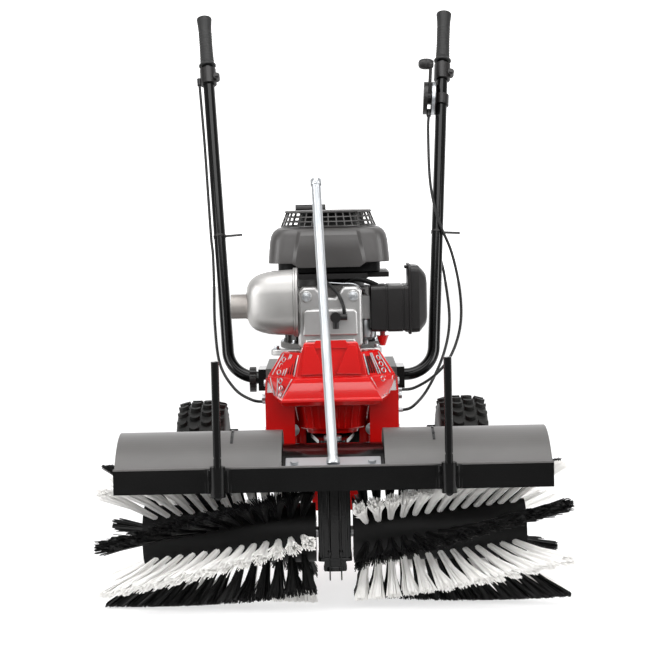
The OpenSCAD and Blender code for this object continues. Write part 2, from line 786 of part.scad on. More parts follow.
// Starter cover: a slotted cone on the shroud's roof, with the pull grip behind it
starter_top_r = 74;
starter_edge = 5;
starter_slots = 18;
starter_slot_w = 8;
starter_slot_h = 17;
starter_z = shroud_z + shroud_h;
pull_x = -36;
pull_lean = 53;
pull_r = 9;
pull_w = 62;
pull_stem_r = 5;
pull_stem_l = 16;
pull_rise = 20;
pull_boss_r = 7;
pull_boss_l = 20;
pull_y = crank_y + starter_r;
pull_z = starter_z + pull_rise;
module starter_cover() {
  color([0.08, 0.08, 0.08]) translate([0, crank_y, starter_z]) {
    translate([pull_x, starter_r, pull_rise]) rotate([-pull_lean, 0, 0]) z_cyl(pull_boss_r, -pull_boss_l, 0);
    difference() {
    rotate_extrude() polygon([[0, starter_h], [starter_top_r - starter_edge, starter_h],
      [starter_top_r, starter_h - starter_edge], [starter_r, 0], [starter_r - shroud_wall, 0],
      [starter_top_r - shroud_wall, starter_h - starter_edge - shroud_wall], [0, starter_h - shroud_wall]]);
    for (i = [0:starter_slots - 1]) rotate(360 * i / starter_slots)
      span_box([starter_top_r - 2 * starter_edge, -starter_slot_w / 2, starter_edge],
        [starter_r + over, starter_slot_w / 2, starter_edge + starter_slot_h]);
    }
  }
}
module starter_grip() {
  color([0.06, 0.06, 0.06]) translate([pull_x, pull_y, pull_z]) rotate([-pull_lean, 0, 0]) {
    z_cyl(pull_stem_r, body_gap, pull_stem_l);
    translate([0, 0, pull_stem_l + pull_r - over]) x_cyl(pull_r, -pull_w / 2, pull_w / 2);
  }
}
module fuel_tank() {
  color([0.1, 0.1, 0.1]) loft([for (s = [[0, 1], [0.8, 1], [1, tank_top_share]])
    round_loop(tank_w * s[1], tank_d * s[1], tank_corner * s[1], shroud_z + s[0] * tank_h, 0, tank_y)]);
}
module fuel_cap() {
  cap_z = shroud_z + tank_h;
  color([0.06, 0.06, 0.06]) translate([cap_x, tank_y, 0]) difference() {
    z_cyl(cap_r, cap_z, cap_z + cap_h);
    for (i = [0:cap_ribs - 1]) rotate(360 * i / cap_ribs) translate([cap_r, 0, 0])
      z_cyl(cap_rib_r, cap_z + cap_h / 2, cap_z + cap_h + over);
  }
}

// Brush head: the drive column, with the neck and lug that the swivel pin passes through
column_half_w = 27;
column_half_d = 38;
column_low_z = 84;
column_foot_z = 62;
column_foot_half_w = 20;
neck_half_w = 22;
lug_r = 26;
head_gear_r = 28;
head_gear_half_w = 10;
head_worm_r = drive_z - brush_z - head_gear_r - mesh_gap;
head_worm_half_l = 22;
head_worm_end = 34;
cup_r = 17;
cup_back = 3;
cup_len = 26;
ball_gap = 0.3;
module head_gearbox() {
  color([0.07, 0.07, 0.07]) difference() {
    union() {
      intersection() {
        span_box([-column_half_w, brush_y - column_half_d, column_low_z],
          [column_half_w, brush_y + column_half_d, brush_z + hood_r]);
        translate([0, brush_y, brush_z]) x_cyl(hood_r - fit_gap, -column_half_w - over, column_half_w + over);
      }
      span_box([-column_foot_half_w, brush_y - column_foot_half_w, column_foot_z],
        [column_foot_half_w, brush_y + column_foot_half_w, column_low_z]);
      span_box([-neck_half_w, brush_y, lug_low_z + lug_gap], [neck_half_w, pivot_y, lug_top_z - lug_gap]);
      translate([0, pivot_y, 0]) z_cyl(lug_r, lug_low_z + lug_gap, lug_top_z - lug_gap);
    }
    translate([0, pivot_y, 0]) z_cyl(pivot_r + run_gap, lug_low_z - over, lug_top_z + over);
    translate([0, brush_y, brush_z]) {
      x_cyl(head_gear_r + gear_side_gap, -head_gear_half_w - gear_side_gap, head_gear_half_w + gear_side_gap);
      x_cyl(brush_shaft_r + run_gap, -column_half_w - over, column_half_w + over);
    }
    translate([0, brush_y, drive_z]) {
      y_cyl(head_worm_r + gear_side_gap, -head_worm_half_l - gear_side_gap, head_worm_half_l + gear_side_gap);
      y_cyl(drive_shaft_r + run_gap, -head_worm_end, column_half_d + over);
    }
  }
}
module head_worm() {
  color("silver") difference() {
    translate([0, 0, drive_z]) {
      y_cyl(drive_shaft_r, brush_y - head_worm_end, pivot_y - cup_len);
      y_cyl(cup_r, pivot_y - cup_len, pivot_y - cup_back);
      y_cyl(head_worm_r, brush_y - head_worm_half_l, brush_y + head_worm_half_l);
    }
    translate([0, pivot_y, drive_z]) sphere(r = ball_r + ball_gap);
  }
}
module brush_shaft() {
  color("dimgray") translate([0, brush_y, brush_z]) {
    x_cyl(brush_shaft_r, -core_in - core_len, core_in + core_len);
    x_cyl(head_gear_r, -head_gear_half_w, head_gear_half_w);
  }
}
module core() {
  color([0.1, 0.1, 0.1]) translate([0, brush_y, brush_z]) difference() {
    x_cyl(core_r, core_in, core_in + core_len);
    x_cyl(brush_shaft_r + fit_gap, core_in - over, core_in + core_len + over);
  }
}
module right_core() { core(); }
module left_core() { mirror([1, 0, 0]) core(); }

// Hood: two rolled shells, and a lip that bridges them over the drive column
hood_back_a = 15;
hood_front_a = 112;
bridge_a = 78;
slope_a = hood_front_a - 90;
slope_len = (lip_reach - (hood_r + sheet_t) * sin(slope_a)) / cos(slope_a);
module hood_arc(x0, x1, a0) {
  translate([0, brush_y, brush_z]) rotate([90, 0, 90]) rotate([0, 0, a0])
    rotate_extrude(angle = hood_front_a - a0) translate([hood_r, x0]) square([sheet_t, x1 - x0]);
}
// The flat that runs down from the arc to the lip lies level in this frame
module on_slope() { translate([0, brush_y, brush_z]) rotate([slope_a, 0, 0]) children(); }
// The shells stand higher than they are deep: an ellipse, then a flat that ends on the back of the lip
hood_rise = 26;
shell_steps = 44;
shell_end_share = 1.35;
shell_end = [-lip_reach, (hood_r + sheet_t) * cos(slope_a) - slope_len * sin(slope_a)];
function shell_line(r, end) =
  let (k = (r + hood_rise) / r, p = [end.x, end.y / k], a1 = atan2(p.y, p.x) - acos(r / norm(p)))
  concat([for (i = [0 : shell_steps]) let (a = hood_back_a + (a1 - hood_back_a) * i / shell_steps)
    [r * cos(a), k * r * sin(a)]], [end]);
function backwards(points) = [for (i = [len(points) - 1 : -1 : 0]) points[i]];
module hood_shell() {
  color([0.3, 0.29, 0.29]) translate([hood_gap, brush_y, brush_z]) rotate([90, 0, 90])
    linear_extrude(hood_half_w - hood_gap) polygon(concat(shell_line(hood_r + sheet_t, shell_end),
      backwards(shell_line(hood_r, shell_end - [0, shell_end_share * sheet_t]))));
}
module hood_right() { hood_shell(); }
module hood_left() { mirror([1, 0, 0]) hood_shell(); }

sleeve_over = 5;
plate_t = 5;
plate_d = 42;
plate_y = -37;
bolt_r = 4;
bolt_head_r = 7;
bolt_head_h = 5.5;
bolt_inset = 16;
bolt_x = lever_plate_w / 2 - bolt_inset;
module front_lip() {
  color([0.06, 0.06, 0.06]) difference() {
    union() {
      span_box([-hood_half_w, lip_y - sheet_t, lip_z], [hood_half_w, lip_y, lip_z + lip_h]);
      mirrored() translate([stand_x, stand_y, 0]) z_cyl(sleeve_r, lip_z - sleeve_over, lip_z + lip_h + sleeve_over);
      hood_arc(-hood_gap, hood_gap, bridge_a);
      on_slope() span_box([-hood_gap, -slope_len - over, hood_r], [hood_gap, 0, hood_r + sheet_t]);
    }
    mirrored() {
      translate([stand_x, stand_y, 0])
        z_cyl(stand_r + run_gap, lip_z - sleeve_over - over, lip_z + lip_h + sleeve_over + over);
      span_box([stand_x - sleeve_r, lip_y, lip_z - sleeve_over - over],
        [stand_x + sleeve_r, lip_y + sleeve_r, lip_z + lip_h + sleeve_over + over]);
      on_slope() translate([bolt_x, plate_y, 0]) z_cyl(bolt_r + fit_gap, hood_r - over, hood_r + sheet_t + over);
    }
  }
}
// Swivel lever: a zinc-plated tube on a foot plate, leaning back over the head
lever_lean_x = -22;
lever_back = 136;
lever_cap_out = 1.5;
lever_cap_h = 12;
function slope_point(y, z) = [0, brush_y + y * cos(slope_a) - z * sin(slope_a), brush_z + y * sin(slope_a) + z * cos(slope_a)];
lever_foot = slope_point(plate_y, hood_r + sheet_t + plate_t / 2);
lever_top = [lever_lean_x, brush_y + lever_back, lever_top_z];
lever_cap_foot = lever_top - lever_cap_h * (lever_top - lever_foot) / norm(lever_top - lever_foot);
module swivel_lever() {
  color("gainsboro") {
    on_slope() difference() {
      span_box([-lever_plate_w / 2, plate_y - plate_d / 2, hood_r + sheet_t],
        [lever_plate_w / 2, plate_y + plate_d / 2, hood_r + sheet_t + plate_t]);
      mirrored() translate([bolt_x, plate_y, 0])
        z_cyl(bolt_r + fit_gap, hood_r, hood_r + sheet_t + plate_t + over);
    }
    difference() {
      rod(lever_foot, lever_top, lever_r);
      on_slope() span_box([-lever_plate_w, plate_y - plate_d, 0], [lever_plate_w, plate_y + plate_d, hood_r + sheet_t]);
    }
    rod(lever_cap_foot, lever_top, lever_r + lever_cap_out);
  }
}
module lever_bolts() {
  color("silver") mirrored() on_slope() translate([bolt_x, plate_y, 0]) {
    z_cyl(bolt_r, hood_r - plate_t, hood_r + sheet_t + plate_t);
    translate([0, 0, hood_r + sheet_t + plate_t]) cylinder(r = bolt_head_r, h = bolt_head_h, $fn = 6);
  }
}
stand_groove_z = 292;
stand_groove_h = 3;
stand_groove_d = 1;
module stand() {
  color([0.05, 0.05, 0.05]) translate([stand_x, stand_y, 0]) {
    z_cyl(stand_r, stand_foot_z + stand_r, stand_groove_z);
    z_cyl(stand_r - stand_groove_d, stand_groove_z - over, stand_groove_z + stand_groove_h + over);
    z_cyl(stand_r, stand_groove_z + stand_groove_h, stand_foot_z + stand_len);
    translate([0, 0, stand_foot_z + stand_r]) sphere(r = stand_r);
  }
}
module right_stand() { stand(); }
module left_stand() { mirror([1, 0, 0]) stand(); }

// Bristles: rows of tufts along a slow helix, each tuft two strands that part from a strip on the core
tuft_rows = 8;
row_twist = 52;
left_phase = 47;
right_phase = 65;
strip_half_w = 4;
strip_t = 2;
strip_gap = 0.4;
strip_margin = 6;
strand_foot = 5;
strand_tip_half_w = 4;
strand_tip_half_l = 3;
tip_spread = 6;
tuft_pitch = (core_len - 4 * strip_margin) / row_tufts;
// A point at radius r and angle a round the brush axis
function brush_point(x, r, a) = [x, brush_y + r * cos(a), brush_z + r * sin(a)];
function tip_x(x) = let (t = (abs(x) - core_in) / core_len)
  x + sign(x) * ((inner_lean + outer_lean) * t - inner_lean);

module bristle_row(x0, phase) {
  function row_a(x) = phase - row_twist * (x - x0) / core_len;
  strip_r = core_r + strip_gap;
  top_r = strip_r + strip_t;
  half_a = strip_half_w / core_r * 180 / PI;
  tip_a = strand_tip_half_w / brush_r * 180 / PI;
  first = x0 + 2 * strip_margin + tuft_pitch / 2;
  marks = concat([x0 + strip_margin],
    [for (i = [0:row_tufts - 1]) for (k = [-1:1]) first + i * tuft_pitch + k * strand_foot],
    [x0 + core_len - strip_margin]);
  cells = len(marks) - 2;
  // Four strip points at each mark: low left, low right, top right, top left
  strip = [for (x = marks) each [brush_point(x, strip_r, row_a(x) - half_a), brush_point(x, strip_r, row_a(x) + half_a),
    brush_point(x, top_r, row_a(x) + half_a), brush_point(x, top_r, row_a(x) - half_a)]];
  strand_cells = [for (j = [0:cells]) if (j % 3 != 0) j];
  tips = [for (j = strand_cells)
    let (mid = (marks[j] + marks[j + 1]) / 2, a = row_a(mid),
      x = tip_x(mid) + (j % 3 == 1 ? -1 : 1) * tip_spread)
    for (c = [[-1, -1], [1, -1], [1, 1], [-1, 1]])
      brush_point(x + c[1] * strand_tip_half_l, brush_r, a + c[0] * tip_a)];
  base = len(strip);
  walls = [for (j = [0:cells]) let (k = 4 * j, n = k + 4) each [
    [k, k + 1, n + 1], [k, n + 1, n], [n, n + 3, k + 3], [n, k + 3, k],
    [k + 1, k + 2, n + 2], [k + 1, n + 2, n + 1]]];
  tops = [for (j = [0:cells]) if (j % 3 == 0) let (k = 4 * j, n = k + 4) each
    [[k + 3, n + 3, n + 2], [k + 3, n + 2, k + 2]]];
  strands = [for (s = [0:len(strand_cells) - 1])
    let (k = 4 * strand_cells[s], foot = [k + 3, k + 2, k + 6, k + 7], t = base + 4 * s) each concat(
      [for (i = [0:3]) each [[foot[i], t + i, t + (i + 1) % 4], [foot[i], t + (i + 1) % 4, foot[(i + 1) % 4]]]],
      [[t + 3, t + 2, t + 1], [t + 3, t + 1, t]])];
  e = base - 4;
  ends = [[0, 3, 2], [0, 2, 1], [e + 1, e + 2, e + 3], [e + 1, e + 3, e]];
  polyhedron(concat(strip, tips), concat(walls, tops, strands, ends));
}
// Every second row is white and the rows between are black
module bristles(x0, phase, first_row) {
  for (i = [first_row:2:tuft_rows - 1]) bristle_row(x0, phase + 360 * i / tuft_rows);
}
module right_white_bristles() { color("whitesmoke") bristles(core_in, right_phase, 0); }
module right_black_bristles() { color([0.05, 0.05, 0.05]) bristles(core_in, right_phase, 1); }
module left_white_bristles() { color("whitesmoke") bristles(-core_in - core_len, left_phase, 0); }
module left_black_bristles() { color([0.05, 0.05, 0.05]) bristles(-core_in - core_len, left_phase, 1); }

// Handlebar: a U of tube whose cross piece turns in the clamps
module at_bar() { translate([0, bar_y, bar_z]) rotate([-bar_lean, 0, 0]) children(); }
// Frame at the end of the right side tube: Z along the tube, Y towards the operator
module at_bar_end() { at_bar() translate([bar_end[0], 0, bar_end[1]]) rotate([0, bar_splay, 0]) children(); }
function bar_point(p) = let (x = p[0] * cos(bar_splay) + p[2] * sin(bar_splay),
  v = bar_end[1] - p[0] * sin(bar_splay) + p[2] * cos(bar_splay))
  [bar_end[0] + x, bar_y + p[1] * cos(bar_lean) + v * sin(bar_lean), bar_z - p[1] * sin(bar_lean) + v * cos(bar_lean)];

tube_wall = 2;
module handlebar() {
  color([0.05, 0.05, 0.05]) {
    at_bar() {
      x_cyl(tube_r, -bar_half_w, bar_half_w);
      mirrored() translate([bar_half_w, 0, bend_r]) rotate([90, 0, 0]) rotate([0, 0, -90])
        rotate_extrude(angle = tube_turn) translate([bend_r, 0]) circle(tube_r);
    }
    mirrored() at_bar_end() difference() {
      z_cyl(tube_r, -side_len, 0);
      z_cyl(tube_r - tube_wall, -side_len + tube_r, over);
    }
  }
}
grip_neck = 40;
grip_flange_r = 19;
grip_flange_t = 5;
module grips() {
  grip_low = grip_end_over - grip_len;
  color([0.12, 0.12, 0.12]) mirrored() at_bar_end() rotate_extrude() polygon([
    [tube_r + fit_gap, grip_low], [grip_flange_r, grip_low], [grip_flange_r, grip_low + grip_flange_t],
    [grip_r, grip_low + 2 * grip_flange_t], [grip_r, -grip_neck], [grip_end_r, 0], [grip_end_r, grip_end_over],
    [0, grip_end_over], [0, 0], [tube_r + fit_gap, 0]]);
}

// Control levers on brackets below the grips
bracket_gap = 5;
bracket_len = 37;
bracket_r = 18;
fork_half_w = 11;
fork_slot_half_w = 4.5;
fork_r = 9;
fork_floor = 20;
control_pin_r = 3;
control_hub_r = 7;
nipple_r = 5;
nipple_l = 16;
cable_r = 3;
cable_out = 20.5;
bracket_top = -grip_len - bracket_gap;
bracket_low = bracket_top - bracket_len;
// The left cable leaves its bracket on the outer side, and the right one on the operator's side
module lever_bracket(cable_place) {
  at_bar_end() difference() {
    union() {
      z_cyl(bracket_r, bracket_low, bracket_top);
      span_box([-fork_half_w, 0, -control_drop - fork_r], [fork_half_w, control_out, -control_drop + fork_r]);
      translate([0, control_out, -control_drop]) x_cyl(fork_r, -fork_half_w, fork_half_w);
      translate(cable_place) z_cyl(nipple_r, bracket_low, bracket_low + nipple_l);
    }
    z_cyl(tube_r + fit_gap, bracket_low - over, bracket_top + over);
    span_box([-fork_slot_half_w, fork_floor, -control_drop - fork_r - over],
      [fork_slot_half_w, control_out + fork_r + over, -control_drop + fork_r + over]);
    translate([0, control_out, -control_drop]) x_cyl(control_pin_r + run_gap, -fork_half_w - over, fork_half_w + over);
  }
}
module lever_brackets() {
  color([0.06, 0.06, 0.06]) {
    lever_bracket([0, cable_out, 0]);
    mirror([1, 0, 0]) lever_bracket([cable_out, 0, 0]);
  }
}
module control_lever() {
  color([0.05, 0.05, 0.05]) at_bar_end() translate([0, control_out, -control_drop]) {
    x_cyl(control_pin_r, -fork_half_w, fork_half_w);
    x_cyl(control_hub_r, -fork_slot_half_w + body_gap, fork_slot_half_w - body_gap);
    rod([0, 0, 0], [0, control_end_y - control_out, control_rise], control_bar_r);
    translate([0, control_end_y - control_out, control_rise]) sphere(r = control_ball_r);
  }
}
module right_lever() { control_lever(); }
module left_lever() { mirror([1, 0, 0]) control_lever(); }

// Throttle on the inner side of the right tube
throttle_drop = 215;
throttle_y = -8;
throttle_r = 36;
throttle_in = -40;
throttle_slot_in = -31;
throttle_slot_out = -23;
throttle_pin_r = 6;
throttle_hub_r = 14;
throttle_ring_r = 16.5;
throttle_ring_half_h = 12;
throttle_arm_y = -28;
throttle_arm_z = 70;
throttle_arm_r = 6;
throttle_knob_r = 8;
throttle_knob_half_l = 12;
throttle_knob_in = 6;
throttle_mid = (throttle_slot_in + throttle_slot_out) / 2;
module throttle_body() {
  color([0.05, 0.05, 0.05]) at_bar_end() translate([0, 0, -throttle_drop]) {
    difference() {
      union() {
        translate([0, throttle_y, 0]) x_cyl(throttle_r, throttle_in, -tube_r);
        z_cyl(throttle_ring_r, -throttle_ring_half_h, throttle_ring_half_h);
      }
      z_cyl(tube_r + fit_gap, -throttle_r - over, throttle_r + over);
      translate([0, throttle_y, 0]) x_cyl(throttle_r + over, throttle_slot_in, throttle_slot_out);
    }
    translate([0, throttle_y, 0]) x_cyl(throttle_pin_r, throttle_slot_in - over, throttle_slot_out + over);
    translate([throttle_mid, throttle_y, 0]) z_cyl(nipple_r, -throttle_r - nipple_l / 2, -throttle_r + nipple_l / 2);
  }
}
module throttle_lever() {
  face_in = throttle_slot_in + body_gap;
  face_out = throttle_slot_out - body_gap;
  color([0.07, 0.07, 0.07]) at_bar_end() translate([0, throttle_y, -throttle_drop]) {
    difference() {
      union() {
        x_cyl(throttle_hub_r, face_in, face_out);
        translate([face_in, 0, 0]) rotate([90, 0, 90]) linear_extrude(face_out - face_in) polygon([
          [-throttle_arm_r, 0], [throttle_arm_r, 0], [throttle_arm_y + throttle_arm_r, throttle_arm_z],
          [throttle_arm_y - throttle_arm_r, throttle_arm_z]]);
      }
      x_cyl(throttle_pin_r + run_gap, throttle_slot_in, throttle_slot_out);
    }
    translate([throttle_mid - throttle_knob_in, throttle_arm_y, throttle_arm_z])
      x_cyl(throttle_knob_r, -throttle_knob_half_l, throttle_knob_half_l);
  }
}

// Cables from the controls down to the frame's side plates
ring_sides = 8;
route_steps = 2;
cable_low = bracket_low - body_gap;
cable_end_gap = 0.95;
cable_end_x = frame_half_w + cable_end_gap;
function flip_x(p) = [-p[0], p[1], p[2]];
left_route = concat([for (p = [[cable_out, 0, cable_low], [18.6, 0, -300], [18.6, 0, -420], [18.6, 0, -530]]) flip_x(bar_point(p))],
  [[-248, 155, 625], [-245, 120, 560], [-243, 85, 480], [-232, 50, 400], [-200, 10, 352], [-165, -15, 332],
   [-140, -20, 328], [-cable_end_x, -20, 328]]);
throttle_route = concat([bar_point([throttle_mid, throttle_y, -throttle_drop - throttle_r - nipple_l / 2 - body_gap]),
  bar_point([throttle_mid, throttle_y, -throttle_drop - throttle_r - 3 * nipple_l])],
  [[222, 205, 770], [236, 167, 690], [262, 150, 620], [276, 120, 540], [274, 90, 470], [252, 60, 410],
   [215, 20, 372], [170, -30, 352], [140, -45, 350], [cable_end_x, -45, 350]]);
right_route = concat([for (p = [[0, cable_out, cable_low], [0, 20.5, -230], [0, 19, -360], [0, 18.6, -530]]) bar_point(p)],
  [[246, 150, 570], [252, 105, 480], [236, 70, 410], [200, 20, 345], [165, -60, 318], [142, -75, 312],
   [cable_end_x, -75, 312]]);
// A smooth curve through the points of a route
function curve(a, b, c, d, t) = (2 * b + (c - a) * t + (2 * a - 5 * b + 4 * c - d) * t * t
  + (3 * b - a - 3 * c + d) * t * t * t) / 2;
function smooth(route) = let (last = len(route) - 1) concat([for (i = [0:last - 1]) for (k = [0:route_steps - 1])
  curve(route[max(i - 1, 0)], route[i], route[i + 1], route[min(i + 2, last)], k / route_steps)], [route[last]]);
function unit(v) = v / norm(v);
function rings(path, r) = let (last = len(path) - 1) [for (i = [0:last])
  let (d = unit(path[min(i + 1, last)] - path[max(i - 1, 0)]), u = unit(cross(d, [0, 1, 0])), w = cross(d, u))
    [for (k = [0:ring_sides - 1]) path[i] + r * (cos(360 * k / ring_sides) * u + sin(360 * k / ring_sides) * w)]];
module cables() {
  color([0.04, 0.04, 0.04]) for (route = [left_route, throttle_route, right_route]) loft(rings(smooth(route), cable_r));
}
tie_drop = 530;
tie_r = 13.6;
tie_h = 5;
tie_tail = 35;
tie_t = 1.5;
module cable_tie(side) {
  at_bar_end() translate([0, 0, -tie_drop]) {
    difference() {
      z_cyl(tie_r, -tie_h / 2, tie_h / 2);
      z_cyl(tube_r + fit_gap, -tie_h, tie_h);
    }
    span_box([side > 0 ? tie_r - over : -tie_r - tie_tail, -tie_t / 2, -tie_h / 2],
      [side > 0 ? tie_r + tie_tail : over - tie_r, tie_t / 2, tie_h / 2]);
  }
}
module cable_ties() {
  color([0.05, 0.05, 0.05]) {
    cable_tie(1);
    mirror([1, 0, 0]) cable_tie(-1);
  }
}

// Every piece stands in the machine's own frame
module placed() { translate([0, frame_y, 0]) children(); }
placed() left_side_plate();
placed() right_side_plate();
placed() transmission_case_left();
placed() transmission_case_right();
placed() bell_housing();
placed() front_cover();
placed() swivel_bracket();
placed() swivel_pin();
placed() handlebar_clamps();
placed() clamp_knob();
placed() axle_shaft();
placed() axle_gear();
placed() left_rim();
placed() left_tyre();
placed() right_rim();
placed() right_tyre();
placed() travel_worm();
placed() drive_shaft();
placed() engine_block();
placed() valve_cover();
placed() muffler();
placed() carburettor();
placed() air_filter_box();
placed() air_filter_cover();
placed() fan_shroud();
placed() blower_base();
placed() starter_cover();
placed() starter_grip();
placed() fuel_tank();
placed() fuel_cap();
placed() fuel_tap();
placed() spark_plug();
placed() crankshaft();
placed() flywheel();
placed() piston();
placed() head_gearbox();
placed() hood_left();
placed() hood_right();
placed() front_lip();
placed() swivel_lever();
placed() lever_bolts();
placed() left_stand();
placed() right_stand();
placed() head_worm();
placed() brush_shaft();
placed() left_core();
placed() right_core();
placed() left_white_bristles();
placed() left_black_bristles();
placed() right_white_bristles();
placed() right_black_bristles();
placed() handlebar();
placed() grips();
placed() lever_brackets();
placed() left_lever();
placed() right_lever();
placed() throttle_body();
placed() throttle_lever();
placed() cables();
placed() cable_ties();
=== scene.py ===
# %% [markdown]
# # A power brush sweeper
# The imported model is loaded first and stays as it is. It gives every rigid piece at its true
# size and place, so this lesson only has to dress it: finishes for the metal, plastic and
# rubber, and fuller shapes for the bristles, the tyres, the grips and the small engine parts.

# %% Load the frame
import json
import math
import random
import bpy
from mathutils import Matrix, Vector


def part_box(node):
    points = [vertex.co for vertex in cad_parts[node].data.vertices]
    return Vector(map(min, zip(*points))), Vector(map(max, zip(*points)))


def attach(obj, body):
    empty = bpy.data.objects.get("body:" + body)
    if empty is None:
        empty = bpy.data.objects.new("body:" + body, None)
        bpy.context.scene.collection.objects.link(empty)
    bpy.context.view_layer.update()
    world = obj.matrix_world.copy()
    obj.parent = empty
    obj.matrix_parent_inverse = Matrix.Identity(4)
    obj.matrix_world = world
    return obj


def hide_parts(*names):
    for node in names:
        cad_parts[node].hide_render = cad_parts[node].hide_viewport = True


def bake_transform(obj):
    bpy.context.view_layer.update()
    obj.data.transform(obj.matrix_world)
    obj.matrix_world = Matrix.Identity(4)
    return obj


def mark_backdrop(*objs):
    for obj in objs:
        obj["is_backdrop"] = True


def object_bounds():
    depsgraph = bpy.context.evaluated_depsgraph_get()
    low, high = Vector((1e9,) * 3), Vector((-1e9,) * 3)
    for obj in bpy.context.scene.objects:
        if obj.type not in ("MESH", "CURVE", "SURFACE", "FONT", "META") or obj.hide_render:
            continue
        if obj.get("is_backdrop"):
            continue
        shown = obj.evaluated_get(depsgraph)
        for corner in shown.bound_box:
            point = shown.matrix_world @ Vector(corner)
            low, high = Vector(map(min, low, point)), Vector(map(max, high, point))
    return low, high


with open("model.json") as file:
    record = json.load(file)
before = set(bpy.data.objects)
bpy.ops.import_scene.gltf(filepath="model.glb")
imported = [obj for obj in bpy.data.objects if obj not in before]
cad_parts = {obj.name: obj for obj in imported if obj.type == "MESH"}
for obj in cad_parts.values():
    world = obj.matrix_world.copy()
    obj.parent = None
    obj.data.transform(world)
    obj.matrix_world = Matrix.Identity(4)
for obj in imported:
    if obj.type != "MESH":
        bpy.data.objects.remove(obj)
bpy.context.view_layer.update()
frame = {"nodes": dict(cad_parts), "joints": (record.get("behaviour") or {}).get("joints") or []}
nodes = frame["nodes"]

# %% [markdown]
# ## Where the pieces are
# The joints of the record hold the axes that most pieces turn on. Reading them from there
# keeps every new piece in the same frame as the solids, with no number typed twice.

# %% Axes of the brush, the wheels and the handlebar
joint_at = {j["name"]: Vector(j.get("pos_m", (0, 0, 0))) for j in frame["joints"]}
brush_axis = joint_at["brush_spin"]
wheel_axis = joint_at["axle_spin"]
crank_axis = joint_at["crank_spin"]
bar_axis = joint_at["handlebar_tilt"]
bar_lean = math.radians(24)
bar_splay = math.radians(3.9)
print("brush axis", brush_axis, "wheel axis", wheel_axis)

# %% [markdown]
# ## Camera, floor and light
# The photograph was taken from the front, about three metres away and a little above the
# engine, with a long lens. A plain pale floor and large soft lights on both sides give the
# bright edges on the black tubes.

# %% Camera
camera_data = bpy.data.cameras.new("Camera")
camera_data.sensor_width = 36
camera_data.lens = 97.4
camera = bpy.data.objects.new("Camera", camera_data)
bpy.context.scene.collection.objects.link(camera)
camera.location = (0.0009, -3.5476, 0.7516)
camera.rotation_euler = (math.radians(85.72), math.radians(1.21), math.radians(0.1))
bpy.context.scene.camera = camera
print("camera:", camera_data.lens, "mm lens")

# %% Floor and lights
bpy.ops.object.select_all(action="DESELECT")
bpy.ops.mesh.primitive_plane_add(size=1, location=(0, 4.95, 0))
floor = bpy.context.object
floor.scale = (30, 12.5, 1)
floor.name = "floor"
bpy.ops.mesh.primitive_plane_add(size=48, location=(0, 11, 0), rotation=(math.radians(90), 0, 0))
backdrop = bpy.context.object
backdrop.name = "backdrop"
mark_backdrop(floor, backdrop)


def softbox(name, place, aim, size, power):
    """A large square light that faces a point."""
    data = bpy.data.lights.new(name, "AREA")
    data.shape = "RECTANGLE"
    data.size, data.size_y = size
    data.energy = power
    light = bpy.data.objects.new(name, data)
    bpy.context.scene.collection.objects.link(light)
    light.location = place
    light.rotation_euler = (Vector(aim) - Vector(place)).to_track_quat("-Z", "Y").to_euler()
    return light


softbox("left softbox", (-2.4, -1.6, 1.5), (0, 0, 0.5), (1.2, 2.2), 60)
softbox("right softbox", (2.4, -1.6, 1.5), (0, 0, 0.5), (1.2, 2.2), 60)
softbox("top softbox", (0, -0.7, 3.0), (0, 0, 0.4), (2.4, 2.0), 66)
softbox("front softbox", (0, -3.4, 2.3), (0, -0.3, 0.2), (3.2, 1.2), 46)
world = bpy.data.worlds.new("studio")
bpy.context.scene.world = world
world.use_nodes = True
background = world.node_tree.nodes["Background"]
background.inputs["Color"].default_value = (1, 1, 1, 1)
background.inputs["Strength"].default_value = 0.34
bpy.context.scene.view_settings.view_transform = "Standard"
print("stage: a floor, a backdrop and four softboxes")

# %% [markdown]
# ## Writing finishes as expressions
# A finish is a tree of nodes. Wrapping a socket in a small class lets the tree be written as
# plain sums and products, and one method makes any other node.


# %% A value that varies over a surface, and a finish
class Field:
    def __init__(self, finish, socket):
        self.finish, self.socket = finish, socket

    def math(self, operation, other):
        return self.finish.node("ShaderNodeMath", {"operation": operation}, {0: self, 1: other})

    def __add__(self, other):
        return self.math("ADD", other)

    def __mul__(self, other):
        return self.math("MULTIPLY", other)


class Finish:
    def __init__(self, name):
        self.material = bpy.data.materials.new(name)
        self.material.use_nodes = True
        self.tree = self.material.node_tree
        self.shader = self.tree.nodes["Principled BSDF"]
        self.place = self.node("ShaderNodeTexCoord", out="Object")

    def link(self, value, socket):
        if isinstance(value, Field):
            self.tree.links.new(value.socket, socket)
        else:
            socket.default_value = value

    def node(self, kind, settings=None, sockets=None, out=0):
        made = self.tree.nodes.new(kind)
        for key, value in (settings or {}).items():
            if key == "stops":
                for stop, (at, colour) in zip(made.color_ramp.elements, value):
                    stop.position, stop.color = at, (*colour, 1)
            else:
                setattr(made, key, value)
        for key, value in (sockets or {}).items():
            self.link(value, made.inputs[key])
        return Field(self, made.outputs[out])

    def noise(self, scale, detail):
        return self.node("ShaderNodeTexNoise", None, {"Vector": self.place, "Scale": scale, "Detail": detail})

    def ramp(self, value, low, high):
        return self.node("ShaderNodeValToRGB", {"stops": [(0.3, low), (0.7, high)]}, {"Fac": value})

    def bump(self, height, depth, strength):
        sockets = {"Height": height, "Distance": depth, "Strength": strength}
        return self.node("ShaderNodeBump", None, sockets, "Normal")

    def set(self, **sockets):
        for key, value in sockets.items():
            self.link(value, self.shader.inputs[key.replace("_", " ")])
        return self.material


# %% [markdown]
# ## Paint
# The tubes, the lip and the stands are powder coated: glossy, with a faint orange peel. The
# hood carries a softer satin coat, and the red castings and plates have a smooth enamel.


